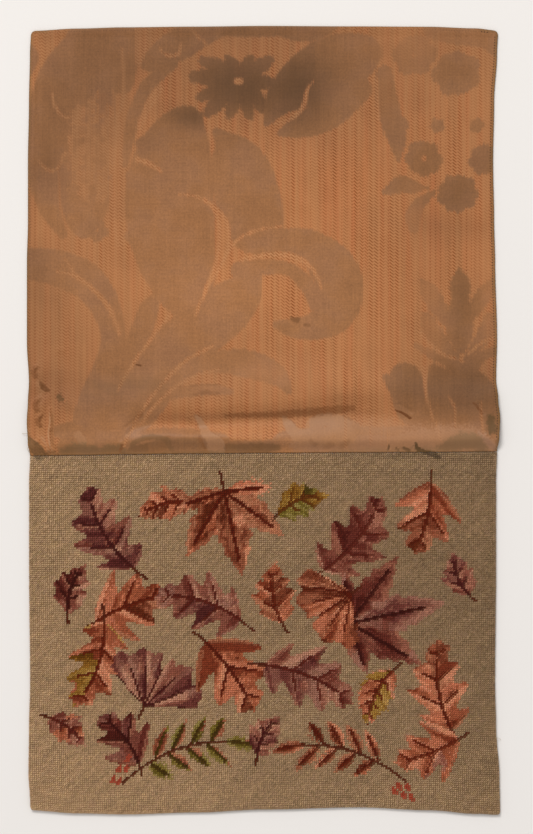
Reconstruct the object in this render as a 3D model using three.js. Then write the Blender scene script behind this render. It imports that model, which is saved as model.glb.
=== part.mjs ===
// A needlepoint picture with a silk damask panel sewn along its upper edge, opened out and lying face up.
// Millimetres. X runs along the seam to the right, Y from the needlework towards the silk, Z up.
// The origin lies under the middle of the whole outline, on the surface that the cloth rests on.
// Each panel is one cloth body with its turned edges: flat underneath, except where the silk lifts in folds.

import * as THREE from 'three';
import { mergeVertices } from 'three/addons/utils/BufferGeometryUtils.js';

// Driving dimensions
const SILK_LENGTH = 377; // from the seam to the far edge, at the middle line
const WOOL_LENGTH = 312; // from the seam to the near edge, at the middle line
const SEAM_GAP = 0.3;
const CORNER_ROUND = 4;

const SILK = {
  thick: 1.2,
  hemThick: 1.6, // the cloth and its edge turned under
  hemWide: 5,
  rim: 1.2, // width over which the turned edge rounds off
  cell: 15, // size of a plain patch of the body's faces
};

const WOOL = {
  thick: 2.7,
  hemThick: 3,
  hemWide: 14,
  rim: 2.2,
  cell: 18,
};

const RIM_WALL = 0.55; // height of the rim's upright edge, as a share of the thickness
const TOUCHING = 0.25; // cloth lifted less than this still lies on the surface

// The long edges: how far each one stands from the middle line, at heights above the seam
const LONG_EDGES = [
  { above: 377, left: 205.7, right: 206.6 },
  { above: 357, left: 206.6, right: 205.7 },
  { above: 313, left: 207.5, right: 203.1 },
  { above: 260, left: 208.4, right: 202.2 },
  { above: 207, left: 208.4, right: 203.1 },
  { above: 171, left: 209.3, right: 204.0 },
  { above: 101, left: 209.3, right: 205.7 },
  { above: 65, left: 207.5, right: 204.9 },
  { above: 48, left: 208.4, right: 206.6 },
  { above: 30, left: 209.3, right: 208.4 },
  { above: 12, left: 208.4, right: 207.5 },
  { above: 0, left: 206.6, right: 205.7 },
  { above: -23, left: 207.5, right: 204.9 },
  { above: -94, left: 207.5, right: 204.9 },
  { above: -200, left: 206.6, right: 204.0 },
  { above: -235, left: 207.5, right: 204.9 },
  { above: -279, left: 208.0, right: 207.9 },
  { above: -305, left: 206.6, right: 208.4 },
  { above: -318, left: 205.4, right: 209.0 },
];

// The seam and the two short edges: how far each one stands out along Y, at shares of the width
const SHORT_EDGES = [
  { across: 0.0, seam: -1.8, far: -3.5, near: 2.6 },
  { across: 0.1, seam: -1.4, far: -1.4, near: 5.3 },
  { across: 0.2, seam: -0.7, far: -0.3, near: 6.2 },
  { across: 0.35, seam: 0.0, far: 0.3, near: 4.6 },
  { across: 0.5, seam: 0.6, far: 0.9, near: 1.9 },
  { across: 0.7, seam: 1.0, far: 0.5, near: 0.0 },
  { across: 0.85, seam: 1.4, far: 0.2, near: 2.6 },
  { across: 0.95, seam: 1.7, far: -1.2, near: 5.8 },
  { across: 1.0, seam: 1.9, far: -3.2, near: 6.6 },
];

// The roll of silk beside the seam: a crest, a dip and a low swell, at distances from the seam
const ROLL = [
  { across: 0.0, crestAt: 9, crestHigh: 3.2, dipAt: 20, dipHigh: 2.0, swellAt: 36, swellHigh: 2.0, endAt: 58 },
  { across: 0.1, crestAt: 11, crestHigh: 3.6, dipAt: 24, dipHigh: 2.6, swellAt: 40, swellHigh: 2.6, endAt: 66 },
  { across: 0.19, crestAt: 11, crestHigh: 4.2, dipAt: 23, dipHigh: 2.6, swellAt: 40, swellHigh: 3.0, endAt: 74 },
  { across: 0.27, crestAt: 15, crestHigh: 7.0, dipAt: 27, dipHigh: 0.8, swellAt: 44, swellHigh: 3.4, endAt: 80 },
  { across: 0.36, crestAt: 14, crestHigh: 6.6, dipAt: 26, dipHigh: 0.3, swellAt: 42, swellHigh: 3.8, endAt: 84 },
  { across: 0.5, crestAt: 12, crestHigh: 7.2, dipAt: 29, dipHigh: 0.3, swellAt: 46, swellHigh: 4.2, endAt: 90 },
  { across: 0.6, crestAt: 12, crestHigh: 6.8, dipAt: 33, dipHigh: 0.4, swellAt: 50, swellHigh: 4.2, endAt: 92 },
  { across: 0.66, crestAt: 12, crestHigh: 6.4, dipAt: 36, dipHigh: 0.6, swellAt: 53, swellHigh: 4.0, endAt: 92 },
  { across: 0.74, crestAt: 12, crestHigh: 5.4, dipAt: 34, dipHigh: 1.8, swellAt: 52, swellHigh: 3.2, endAt: 84 },
  { across: 0.88, crestAt: 12, crestHigh: 5.2, dipAt: 28, dipHigh: 2.4, swellAt: 46, swellHigh: 2.6, endAt: 72 },
  { across: 1.0, crestAt: 13, crestHigh: 4.6, dipAt: 30, dipHigh: 2.0, swellAt: 42, swellHigh: 2.2, endAt: 64 },
];

// Low puffs of the silk: middle, half sizes along and across the puff, its turn from X, and its height
const PUFFS = [
  { x: -199, above: 66, long: 16, wide: 6, turn: 75, high: 1.6 },
  { x: -196, above: 44, long: 15, wide: 6, turn: 60, high: 1.8 },
  { x: -150, above: 150, long: 90, wide: 26, turn: 78, high: 0.9 },
  { x: 10, above: 245, long: 120, wide: 34, turn: 20, high: 1.1 },
  { x: 150, above: 130, long: 80, wide: 24, turn: 98, high: 1.0 },
  { x: 196, above: 34, long: 26, wide: 10, turn: 92, high: 1.6 },
];

// Rows of the silk beside the seam, where the roll needs closer steps
const ROLL_ROWS = [3.5, 6, 8.5, 11, 14, 17, 20, 23, 26, 29, 32, 36, 40, 45, 50, 56, 62, 70, 80];

// The value of one column of a table at a place, eased between its rows
function lookUp(table, key, column, place) {
  const rising = table[0][key] < table[table.length - 1][key];
  const rows = rising ? table : [...table].reverse();
  const last = rows.length - 1;
  if (place <= rows[0][key]) return rows[0][column];
  if (place >= rows[last][key]) return rows[last][column];
  const next = rows.findIndex((row) => row[key] > place);
  const before = rows[next - 1];
  const after = rows[next];
  const share = (place - before[key]) / (after[key] - before[key]);
  return before[column] + (after[column] - before[column]) * ease(share);
}

// A smooth step from 0 to 1
function ease(share) {
  const held = THREE.MathUtils.clamp(share, 0, 1);
  return held * held * (3 - 2 * held);
}

// Height of the roll at a distance from the seam: eased from crest to dip to swell and down to flat
function rollHeight(across, distance) {
  const at = (column) => lookUp(ROLL, 'across', column, across);
  const profile = [
    { from: 0, height: 0 },
    { from: at('crestAt'), height: at('crestHigh') },
    { from: at('dipAt'), height: at('dipHigh') },
    { from: at('swellAt'), height: at('swellHigh') },
    { from: at('endAt'), height: 0 },
  ];
  return lookUp(profile, 'from', 'height', distance);
}

// Height of the low puffs at a point: a bell along and across each puff
function puffHeight(x, above) {
  let height = 0;
  for (const puff of PUFFS) {
    const turn = THREE.MathUtils.degToRad(puff.turn);
    const along = (x - puff.x) * Math.cos(turn) + (above - puff.above) * Math.sin(turn);
    const beside = (above - puff.above) * Math.cos(turn) - (x - puff.x) * Math.sin(turn);
    height += puff.high * Math.exp(-((along / puff.long) ** 2) - (beside / puff.wide) ** 2);
  }
  return height;
}

// Thickness at a distance from the nearest edge: a quarter-round rim, the turned hem, then the plain cloth
function thicknessAt(cloth, fromEdge) {
  const inHem = 1 - ease((fromEdge - cloth.hemWide) / (cloth.hemWide / 2));
  const full = cloth.thick + (cloth.hemThick - cloth.thick) * inHem;
  const inward = THREE.MathUtils.clamp(fromEdge / cloth.rim, 0, 1);
  const round = Math.sqrt(1 - (1 - inward) ** 2);
  return full * (RIM_WALL + (1 - RIM_WALL) * round);
}

// Steps from one edge to the other: close at the rim and hem of each hemmed end, even between them
function steps(length, cloth, closeAtStart, hemAtEnd) {
  const hem = [cloth.rim / 3, cloth.rim, cloth.hemWide, cloth.hemWide * 1.5];
  const start = closeAtStart ?? hem;
  const end = hemAtEnd ? hem.map((step) => length - step).reverse() : [length - cloth.rim / 3, length - cloth.rim];
  const first = start[start.length - 1];
  const span = end[0] - first;
  const count = Math.round(span / cloth.cell);
  const even = [];
  for (let i = 1; i < count; i++) even.push(first + (span * i) / count);
  return [0, ...start, ...even, ...end, length];
}

// A cloth body: a block divided into a grid whose points are then put in place, as one closed skin
function clothBody(columns, rows, place) {
  const lastColumn = columns.length - 1;
  const lastRow = rows.length - 1;
  const block = new THREE.BoxGeometry(1, 1, 1, lastColumn, lastRow, 1);
  const points = block.attributes.position;
  for (let i = 0; i < points.count; i++) {
    const column = Math.round((points.getX(i) + 0.5) * lastColumn);
    const row = Math.round((points.getY(i) + 0.5) * lastRow);
    const isUpper = points.getZ(i) > 0;
    const isCorner = (column === 0 || column === lastColumn) && (row === 0 || row === lastRow);
    const point = place(columns[column], rows[row], isUpper, isCorner);
    points.setXYZ(i, point.x, point.y, point.z);
  }
  block.deleteAttribute('normal');
  block.deleteAttribute('uv');
  const skin = mergeVertices(block);
  skin.computeVertexNormals();
  return skin;
}

// Where the edges run at a share of the width
const widthAt = (above) => lookUp(LONG_EDGES, 'above', 'left', above) + lookUp(LONG_EDGES, 'above', 'right', above);
const seamAt = (across) => lookUp(SHORT_EDGES, 'across', 'seam', across);
const farAt = (across) => SILK_LENGTH + lookUp(SHORT_EDGES, 'across', 'far', across);
const nearAt = (across) => WOOL_LENGTH + lookUp(SHORT_EDGES, 'across', 'near', across);

// A point's place along X, at a share of the width and a height above the seam
function xAt(across, above) {
  return across * widthAt(above) - lookUp(LONG_EDGES, 'above', 'left', above);
}

// How far the corner of a grid is drawn in to stand for its rounding
const CORNER_DRAW = CORNER_ROUND * (1 - Math.SQRT1_2);

// The silk panel: from the seam to the far edge, lifted by the roll and the puffs
function silkPanel() {
  const width = widthAt(SILK_LENGTH / 2);
  const columns = steps(width, SILK, null, true).map((step) => step / width);
  const rows = steps(SILK_LENGTH, SILK, [SILK.rim, ...ROLL_ROWS], true).map((step) => step / SILK_LENGTH);
  return clothBody(columns, rows, (across, along, isUpper, isCorner) => {
    const above = along * SILK_LENGTH;
    const sideways = Math.min(across, 1 - across) * width;
    const fromFar = SILK_LENGTH - above;
    const start = seamAt(across) + SEAM_GAP / 2;
    const atFarCorner = isCorner && along === 1;
    const x = xAt(across, above) + (atFarCorner ? CORNER_DRAW * (across === 0 ? 1 : -1) : 0);
    const y = start + (farAt(across) - start) * along - (atFarCorner ? CORNER_DRAW : 0);
    const lift = rollHeight(across, above) + puffHeight(x, y) * ease(above / ROLL_ROWS[0]);
    const base = lift < TOUCHING ? 0 : lift;
    const thick = thicknessAt(SILK, Math.min(sideways, fromFar));
    return { x, y, z: isUpper ? base + thick : base };
  });
}

// The needlepoint panel: from the seam to the near edge, flat underneath and a little uneven on top
function woolPanel() {
  const width = widthAt(-WOOL_LENGTH / 2);
  const columns = steps(width, WOOL, null, true).map((step) => step / width);
  const rows = steps(WOOL_LENGTH, WOOL, null, false).map((step) => step / WOOL_LENGTH);
  return clothBody(columns, rows, (across, up, isUpper, isCorner) => {
    const below = (1 - up) * WOOL_LENGTH;
    const sideways = Math.min(across, 1 - across) * width;
    const start = seamAt(across) - SEAM_GAP / 2;
    const atNearCorner = isCorner && up === 0;
    const x = xAt(across, -below) + (atNearCorner ? CORNER_DRAW * (across === 0 ? 1 : -1) : 0);
    const y = start - (nearAt(across) + start) * (1 - up) + (atNearCorner ? CORNER_DRAW : 0);
    const uneven = 0.12 * (Math.sin(x / 31 + 1.3) + Math.sin(y / 44 + x / 90));
    const thick = thicknessAt(WOOL, Math.min(sideways, below, WOOL_LENGTH - below));
    return { x, y, z: isUpper ? thick + uneven * ease(sideways / WOOL.hemWide) : 0 };
  });
}

const silkFinish = new THREE.MeshStandardMaterial({ color: 0xb37850, roughness: 0.45, metalness: 0 });
const woolFinish = new THREE.MeshStandardMaterial({ color: 0x96805f, roughness: 0.95, metalness: 0 });

const silk = new THREE.Mesh(silkPanel(), silkFinish);
silk.name = 'silk_panel';

const needlepoint = new THREE.Mesh(woolPanel(), woolFinish);
needlepoint.name = 'needlepoint_panel';

// The whole cloth, moved so that the middle of its outline stands over the origin
const group = new THREE.Group();
group.add(silk, needlepoint);
const middle = new THREE.Box3().setFromObject(group).getCenter(new THREE.Vector3());
group.position.set(-middle.x, -middle.y, 0);

export default group;
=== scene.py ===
"""A needlepoint picture of autumn leaves and the silk damask panel sewn to it, laid flat.

Lengths in the tables are millimetres. A place on the cloth is given as x, from the middle line to the right,
and above, from the seam towards the silk's far edge, or below, towards the needlework's near edge.
"""

import math

import bpy
import numpy as np
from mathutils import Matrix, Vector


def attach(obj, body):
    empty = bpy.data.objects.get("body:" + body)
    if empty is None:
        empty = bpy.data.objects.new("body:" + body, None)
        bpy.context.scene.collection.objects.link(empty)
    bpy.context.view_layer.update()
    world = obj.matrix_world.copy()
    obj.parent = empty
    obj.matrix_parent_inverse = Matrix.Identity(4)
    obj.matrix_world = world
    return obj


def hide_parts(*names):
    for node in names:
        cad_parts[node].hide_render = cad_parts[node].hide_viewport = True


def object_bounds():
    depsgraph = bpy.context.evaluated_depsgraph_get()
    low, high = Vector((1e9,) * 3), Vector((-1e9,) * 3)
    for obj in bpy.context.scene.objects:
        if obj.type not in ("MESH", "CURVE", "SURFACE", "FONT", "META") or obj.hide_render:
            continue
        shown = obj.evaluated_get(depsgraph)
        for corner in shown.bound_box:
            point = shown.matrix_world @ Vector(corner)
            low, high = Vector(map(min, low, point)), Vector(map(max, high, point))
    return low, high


bl_info = {
    "name": "Needlepoint Picture With Silk Panel",
    "version": (1, 0, 0),
    "blender": (4, 5, 0),
    "location": "3D View > Sidebar > Needlework",
    "description": "Wool tent stitches on canvas and a silk damask panel, laid flat on a pale floor",
    "category": "Add Mesh",
}

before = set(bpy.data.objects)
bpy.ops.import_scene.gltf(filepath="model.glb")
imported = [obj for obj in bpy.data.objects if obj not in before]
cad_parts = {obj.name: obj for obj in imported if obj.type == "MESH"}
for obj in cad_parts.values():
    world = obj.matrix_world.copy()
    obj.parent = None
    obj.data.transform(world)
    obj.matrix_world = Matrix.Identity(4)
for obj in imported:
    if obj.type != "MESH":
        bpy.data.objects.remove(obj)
cad_low, cad_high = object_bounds()

MM = 0.001
SEED = 7
UP = (0.0, 0.0, 1.0)

# The picture's size, its column at the cloth's middle line and its row at the seam, in picture points
PHOTO_WIDE, PHOTO_HIGH = 533, 834
PHOTO_MIDDLE, PHOTO_SEAM = 264.0, 454.0


def columns(names, *rows):
    """A short table: its named columns, each one an array."""
    return dict(zip(names.split(), np.array(rows, float).T))


# The shape of the cloth, as the solids have it

SILK_LENGTH = 377.0
WOOL_LENGTH = 312.0
SEAM_GAP = 0.3
CORNER_ROUND = 4.0
SEAM_ROUND = 1.0

# Share of a rim's height that stands upright, and the lift under which the silk still lies on the floor
RIM_WALL = 0.55
TOUCHING = 0.25

SILK = {"thick": 1.2, "hem_thick": 1.6, "hem_wide": 5.0, "rim": 1.2, "least": 0.4}
WOOL = {"thick": 2.7, "hem_thick": 3.0, "hem_wide": 14.0, "rim": 2.2}

# How far the left and right edges lie from the middle line
LONG_EDGES = columns(
    "above left right",
    (377, 205.7, 206.6), (357, 206.6, 205.7), (313, 207.5, 203.1), (260, 208.4, 202.2), (207, 208.4, 203.1),
    (171, 209.3, 204.0), (101, 209.3, 205.7), (65, 207.5, 204.9), (48, 208.4, 206.6), (30, 209.3, 208.4),
    (12, 208.4, 207.5), (0, 206.6, 205.7), (-23, 207.5, 204.9), (-94, 207.5, 204.9), (-200, 206.6, 204.0),
    (-235, 207.5, 204.9), (-279, 208.0, 207.9), (-305, 206.6, 208.4), (-318, 205.4, 209.0),
)

# How far the seam, the far edge and the near edge stray from straight, over a share of the width
SHORT_EDGES = columns(
    "across seam far near",
    (0.0, -1.8, -3.5, 2.6),
    (0.1, -1.4, -1.4, 5.3),
    (0.2, -0.7, -0.3, 6.2),
    (0.35, 0.0, 0.3, 4.6),
    (0.5, 0.6, 0.9, 1.9),
    (0.7, 1.0, 0.5, 0.0),
    (0.85, 1.4, 0.2, 2.6),
    (0.95, 1.7, -1.2, 5.8),
    (1.0, 1.9, -3.2, 6.6),
)

# The roll beside the seam: places and heights of its crest, its dip and its low swell, and where it ends
ROLL = columns(
    "across crest_at crest_high dip_at dip_high swell_at swell_high end_at",
    (0.0, 9, 3.2, 20, 2.0, 36, 2.0, 58),
    (0.1, 11, 3.6, 24, 2.6, 40, 2.6, 66),
    (0.19, 11, 4.2, 23, 2.6, 40, 3.0, 74),
    (0.27, 15, 7.0, 27, 0.8, 44, 3.4, 80),
    (0.36, 14, 6.6, 26, 0.3, 42, 3.8, 84),
    (0.5, 12, 7.2, 29, 0.3, 46, 4.2, 90),
    (0.6, 12, 6.8, 33, 0.4, 50, 4.2, 92),
    (0.66, 12, 6.4, 36, 0.6, 53, 4.0, 92),
    (0.74, 12, 5.4, 34, 1.8, 52, 3.2, 84),
    (0.88, 12, 5.2, 28, 2.4, 46, 2.6, 72),
    (1.0, 13, 4.6, 30, 2.0, 42, 2.2, 64),
)

# Low puffs: middle, reach along and beside, direction in degrees, height
PUFFS = columns(
    "x above long wide turn high",
    (-199, 66, 16, 6, 75, 1.6),
    (-196, 44, 15, 6, 60, 1.8),
    (-150, 150, 90, 26, 78, 0.9),
    (10, 245, 120, 34, 20, 1.1),
    (150, 130, 80, 24, 98, 1.0),
    (196, 34, 26, 10, 92, 1.6),
)

# Where the outline's middle lies over the origin
SHIFT_X = (LONG_EDGES["left"].max() - LONG_EDGES["right"].max()) / 2
SHIFT_Y = cad_high.y / MM - SILK_LENGTH - SHORT_EDGES["far"].max()

# Creases of the silk that the solids leave out: a ridge, or a trough where its height is below nothing
CREASES = columns(
    "x0 above0 x1 above1 wide high",
    (-189, 40, -188, 22, 1.3, 0.9), (-188, 22, -186, 3, 1.5, 1.0), (-121, 24, -110, 33, 1.8, -0.7),
    (-110, 33, -99, 42, 2.0, -0.6), (-208, 20, -200, 11, 2.2, 1.5), (-200, 11, -192, 2, 2.2, 1.2),
    (-66, 33, -60, 26, 1.6, 0.7), (-39, 12, -38, 2, 1.6, -0.7), (-84, 14, -83, 2, 1.6, -0.6),
    (-126, 10, -124, 2, 1.8, 0.8), (120, 44, 130, 37, 1.5, -0.7), (190, 44, 194, 36, 1.5, -0.7),
    (150, 26, 155, 4, 1.6, -0.4), (168, 26, 171, 6, 1.4, 0.4), (196, 16, 205, 5, 2.0, 0.9),
    (62, 14, 66, 3, 1.6, -0.4), (92, 40, 98, 30, 2.6, 0.5),
)

# Small crescent puckers beside the silk's left edge: middle, radius, the angles between which each one runs,
# and height; then their half width and the angle over which their ends fade
CRESCENTS = columns(
    "x above radius start end high",
    (-198, 72, 5.5, 95, 250, 1.3),
    (-192, 60, 5.0, 150, 280, 1.2),
    (-196, 43, 6.0, 90, 250, 1.3),
    (-194, 29, 5.5, 100, 250, 1.1),
    (-180, 86, 6.0, 30, 130, 0.5),
)
CRESCENT_WIDE = 1.5
CRESCENT_FADE = 30.0

# Points each way in a lattice of random values
LATTICE = 64


def ease(share):
    """A smooth step from 0 to 1: 3 s squared less 2 s cubed, held outside 0 to 1."""
    held = np.clip(share, 0.0, 1.0)
    return held * held * (3.0 - 2.0 * held)


def look_up(table, key, column, place):
    """A table's column at a place: two neighbouring rows joined by an eased step."""
    order = np.argsort(table[key])
    keys, values = table[key][order], table[column][order]
    held = np.clip(place, keys[0], keys[-1])
    after = np.clip(np.searchsorted(keys, held, side="right"), 1, len(keys) - 1)
    before = after - 1
    share = (held - keys[before]) / (keys[after] - keys[before])
    return values[before] + (values[after] - values[before]) * ease(share)


def bell(distance, reach):
    """A bell curve: 1 in the middle, falling as exp of minus the squared distance over the squared reach."""
    return np.exp(-((distance / reach) ** 2))


def width_at(above):
    """The cloth's width at a height above the seam: its left and right parts together."""
    return sum(look_up(LONG_EDGES, "above", side, above) for side in ("left", "right"))


def x_at(across, above):
    """A place along X: a share of the width, counted from the left edge."""
    return across * width_at(above) - look_up(LONG_EDGES, "above", "left", above)


def roll_height(across, distance):
    """The roll beside the seam, eased between its crest, its dip, its low swell and its end."""
    at = {name: look_up(ROLL, "across", name, across) for name in ROLL if name != "across"}
    places = [0.0 * across, at["crest_at"], at["dip_at"], at["swell_at"], at["end_at"]]
    heights = [0.0 * across, at["crest_high"], at["dip_high"], at["swell_high"], 0.0 * across]
    height = 0.0 * distance
    for k in range(len(places) - 1):
        share = (distance - places[k]) / (places[k + 1] - places[k])
        part = heights[k] + (heights[k + 1] - heights[k]) * ease(share)
        height = np.where((share >= 0.0) & (share < 1.0), part, height)
    return height


def turned(x, above, middle_x, middle_above, degrees):
    """A point's distances along and beside a direction through a middle point."""
    turn = math.radians(degrees)
    dx, dy = x - middle_x, above - middle_above
    return dx * math.cos(turn) + dy * math.sin(turn), dy * math.cos(turn) - dx * math.sin(turn)


def puff_height(x, above):
    """Low puffs of the silk: a bell along each puff times a bell beside it, added up."""
    height = 0.0 * x
    for px, pa, long, wide, turn, high in zip(*PUFFS.values()):
        along, beside = turned(x, above, px, pa, turn)
        height = height + high * bell(along, long) * bell(beside, wide)
    return height


def from_line(x, above, start, end):
    """A point's distance from a straight piece, and how far along that piece its nearest point is."""
    dx, dy = end[0] - start[0], end[1] - start[1]
    share = np.clip(((x - start[0]) * dx + (above - start[1]) * dy) / (dx * dx + dy * dy), 0.0, 1.0)
    return np.hypot(x - start[0] - share * dx, above - start[1] - share * dy), share


def crease_height(x, above):
    """Sharp creases: a bell across each short line, and a bell across the arc of each crescent."""
    height = 0.0 * x
    for x0, a0, x1, a1, wide, high in zip(*CREASES.values()):
        distance, _ = from_line(x, above, (x0, a0), (x1, a1))
        height = height + high * bell(distance, wide)
    for cx, ca, radius, start, end, high in zip(*CRESCENTS.values()):
        out = np.hypot(x - cx, above - ca) - radius
        angle = np.degrees(np.arctan2(above - ca, x - cx)) % 360.0
        inside = ease((angle - start) / CRESCENT_FADE) * ease((end - angle) / CRESCENT_FADE)
        height = height + high * inside * bell(out, CRESCENT_WIDE)
    return height


def thickness_at(cloth, from_edge):
    """A cloth's thickness: a quarter-round rim, the turned hem, then the plain cloth."""
    in_hem = 1.0 - ease((from_edge - cloth["hem_wide"]) / (cloth["hem_wide"] / 2))
    full = cloth["thick"] + (cloth["hem_thick"] - cloth["thick"]) * in_hem
    inward = np.clip(from_edge / cloth["rim"], 0.0, 1.0)
    return full * (RIM_WALL + (1.0 - RIM_WALL) * np.sqrt(1.0 - (1.0 - inward) ** 2))


def soft_noise(x, y, size, seed):
    """Smooth noise from -1 to 1: random values on a square lattice of that size, eased between them."""
    table = np.random.default_rng(seed).uniform(-1.0, 1.0, (LATTICE, LATTICE))
    gx, gy = x / size, y / size
    ix, iy = np.floor(gx).astype(int), np.floor(gy).astype(int)
    fx, fy = ease(gx - ix), ease(gy - iy)
    next_x, next_y = (ix + 1) % LATTICE, (iy + 1) % LATTICE
    ix, iy = ix % LATTICE, iy % LATTICE
    low = table[ix, iy] * (1 - fx) + table[next_x, iy] * fx
    high = table[ix, next_y] * (1 - fx) + table[next_x, next_y] * fx
    return low * (1 - fy) + high * fy


def unit(vectors):
    """Rows of vectors, each divided by its length."""
    return vectors / np.linalg.norm(vectors, axis=1)[:, None]


# Meshes


def put_mesh(name, points, triangles, material, layers=None, body="root"):
    """A mesh object at the origin from points (mm) and triangles, with named values on its points."""
    mesh = bpy.data.meshes.new(name)
    mesh.vertices.add(len(points))
    mesh.vertices.foreach_set("co", (points * MM).astype(np.float32).ravel())
    mesh.loops.add(triangles.size)
    mesh.loops.foreach_set("vertex_index", triangles.astype(np.int32).ravel())
    mesh.polygons.add(len(triangles))
    mesh.polygons.foreach_set("loop_start", np.arange(0, triangles.size, 3, dtype=np.int32))
    mesh.polygons.foreach_set("use_smooth", np.ones(len(triangles), bool))
    mesh.update(calc_edges=True)
    for layer, values in (layers or {}).items():
        kind, field = "FLOAT", "value"
        if values.ndim == 2:
            kind, field = "FLOAT_COLOR", "color"
            values = np.c_[values, np.ones(len(values))]
        attribute = mesh.attributes.new(layer, kind, "POINT")
        attribute.data.foreach_set(field, values.astype(np.float32).ravel())
    mesh.materials.append(material)
    piece = bpy.data.objects.new(name, mesh)
    bpy.context.scene.collection.objects.link(piece)
    if body:
        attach(piece, body)
    return piece


def grid_index(rows, across, first):
    """The numbers of a grid's points, which run row by row from a first number."""
    return first + np.arange(rows * across).reshape(rows, across)


def grid_triangles(rows, across, first=0, flip=False):
    """Two triangles for each cell of a grid of points, facing up unless they are flipped."""
    index = grid_index(rows, across, first)
    a, b = index[:-1, :-1].ravel(), index[:-1, 1:].ravel()
    c, d = index[1:, 1:].ravel(), index[1:, :-1].ravel()
    faces = np.concatenate([np.c_[a, b, c], np.c_[a, c, d]])
    return faces[:, ::-1] if flip else faces


def border(rows, across, first=0):
    """The points round the edge of a grid, once round against the clock as seen from above."""
    index = grid_index(rows, across, first)
    return np.concatenate([index[0, :-1], index[:-1, -1], index[-1, :0:-1], index[:0:-1, 0]])


def closed_cloth(top, under):
    """One closed skin from a fine upper grid and an underside with half as many cells each way.

    Both are rows of points. Round the edge, each cell of the underside meets two of the upper grid.
    """
    rows, across = top.shape[:2]
    under_rows, under_across = under.shape[:2]
    count = rows * across
    points = np.concatenate([top.reshape(-1, 3), under.reshape(-1, 3)])
    upper = border(rows, across)
    lower = border(under_rows, under_across, count)
    first, middle, last = upper[0::2], upper[1::2], np.roll(upper, -2)[0::2]
    after = np.roll(lower, -1)
    walls = [np.c_[first, lower, middle], np.c_[middle, lower, after], np.c_[middle, after, last]]
    faces = [grid_triangles(rows, across), grid_triangles(under_rows, under_across, count, True), *walls]
    return points, np.concatenate(faces)


def both_sides(values):
    """Values on the upper grid and then on the underside, whose points lie under every second one."""
    return np.concatenate([side.reshape(-1, *values.shape[2:]) for side in (values, values[::2, ::2])])


def tube(path, radius, sides=6):
    """A closed tube round a path: rings of points square to the path, and a cap at each end."""
    path = np.array(path, float)
    step = unit(np.gradient(path, axis=0))
    beside = unit(np.cross(step, UP))
    over = np.cross(beside, step)
    angle = np.linspace(0.0, 2 * math.pi, sides, endpoint=False)
    ring = np.cos(angle)[None, :, None] * beside[:, None] + np.sin(angle)[None, :, None] * over[:, None]
    points = (path[:, None] + radius * ring).reshape(-1, 3)
    faces = []
    for k in range(len(path) - 1):
        a = k * sides + np.arange(sides)
        b = k * sides + (np.arange(sides) + 1) % sides
        faces += [np.c_[a, b + sides, b], np.c_[a, a + sides, b + sides]]
    inner = np.arange(1, sides - 1)
    last = (len(path) - 1) * sides
    faces += [np.c_[0 * inner, inner, inner + 1], np.c_[last + 0 * inner, last + inner + 1, last + inner]]
    return points, np.concatenate(faces)


# A small thread bead, used for every stitch: two ends, and a left, a top and a right point near each of them
STITCH_POINTS = np.array(
    [
        (-1.0, 0.0, -0.45), (1.0, 0.0, -0.45), (-0.52, -1.0, -0.2), (-0.46, 0.0, 1.0), (-0.52, 1.0, -0.2),
        (0.52, -1.0, -0.2), (0.46, 0.0, 1.0), (0.52, 1.0, -0.2),
    ]
)
STITCH_FACES = np.array(
    [
        (0, 2, 3), (0, 3, 4), (2, 5, 6), (2, 6, 3), (3, 6, 7), (3, 7, 4), (1, 6, 5), (1, 7, 6), (0, 4, 2),
        (2, 4, 7), (2, 7, 5), (1, 5, 7),
    ]
)


def stitches(middle, along, over, *half_sizes):
    """Many thread beads at once, each with its middle, the ways it runs and faces, and its half sizes."""
    points = middle[:, None]
    for axis, direction in enumerate((along, np.cross(over, along), over)):
        half = np.broadcast_to(half_sizes[axis], len(middle))[:, None, None]
        points = points + (STITCH_POINTS[None, :, axis, None] * half) * direction[:, None]
    starts = np.arange(len(middle))[:, None, None] * len(STITCH_POINTS)
    return points.reshape(-1, 3), (STITCH_FACES[None] + starts).reshape(-1, 3)


# Colours


def linear(red, green, blue):
    """A colour from 0 to 255 as a screen shows it, as light values: (c + 0.055) / 1.055 to the power 2.4."""
    shown = np.array([red, green, blue]) / 255.0
    return np.where(shown <= 0.04045, shown / 12.92, ((shown + 0.055) / 1.055) ** 2.4)


# The silk's damask: a flowering scroll, drawn as tapering strokes with their half widths

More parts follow.
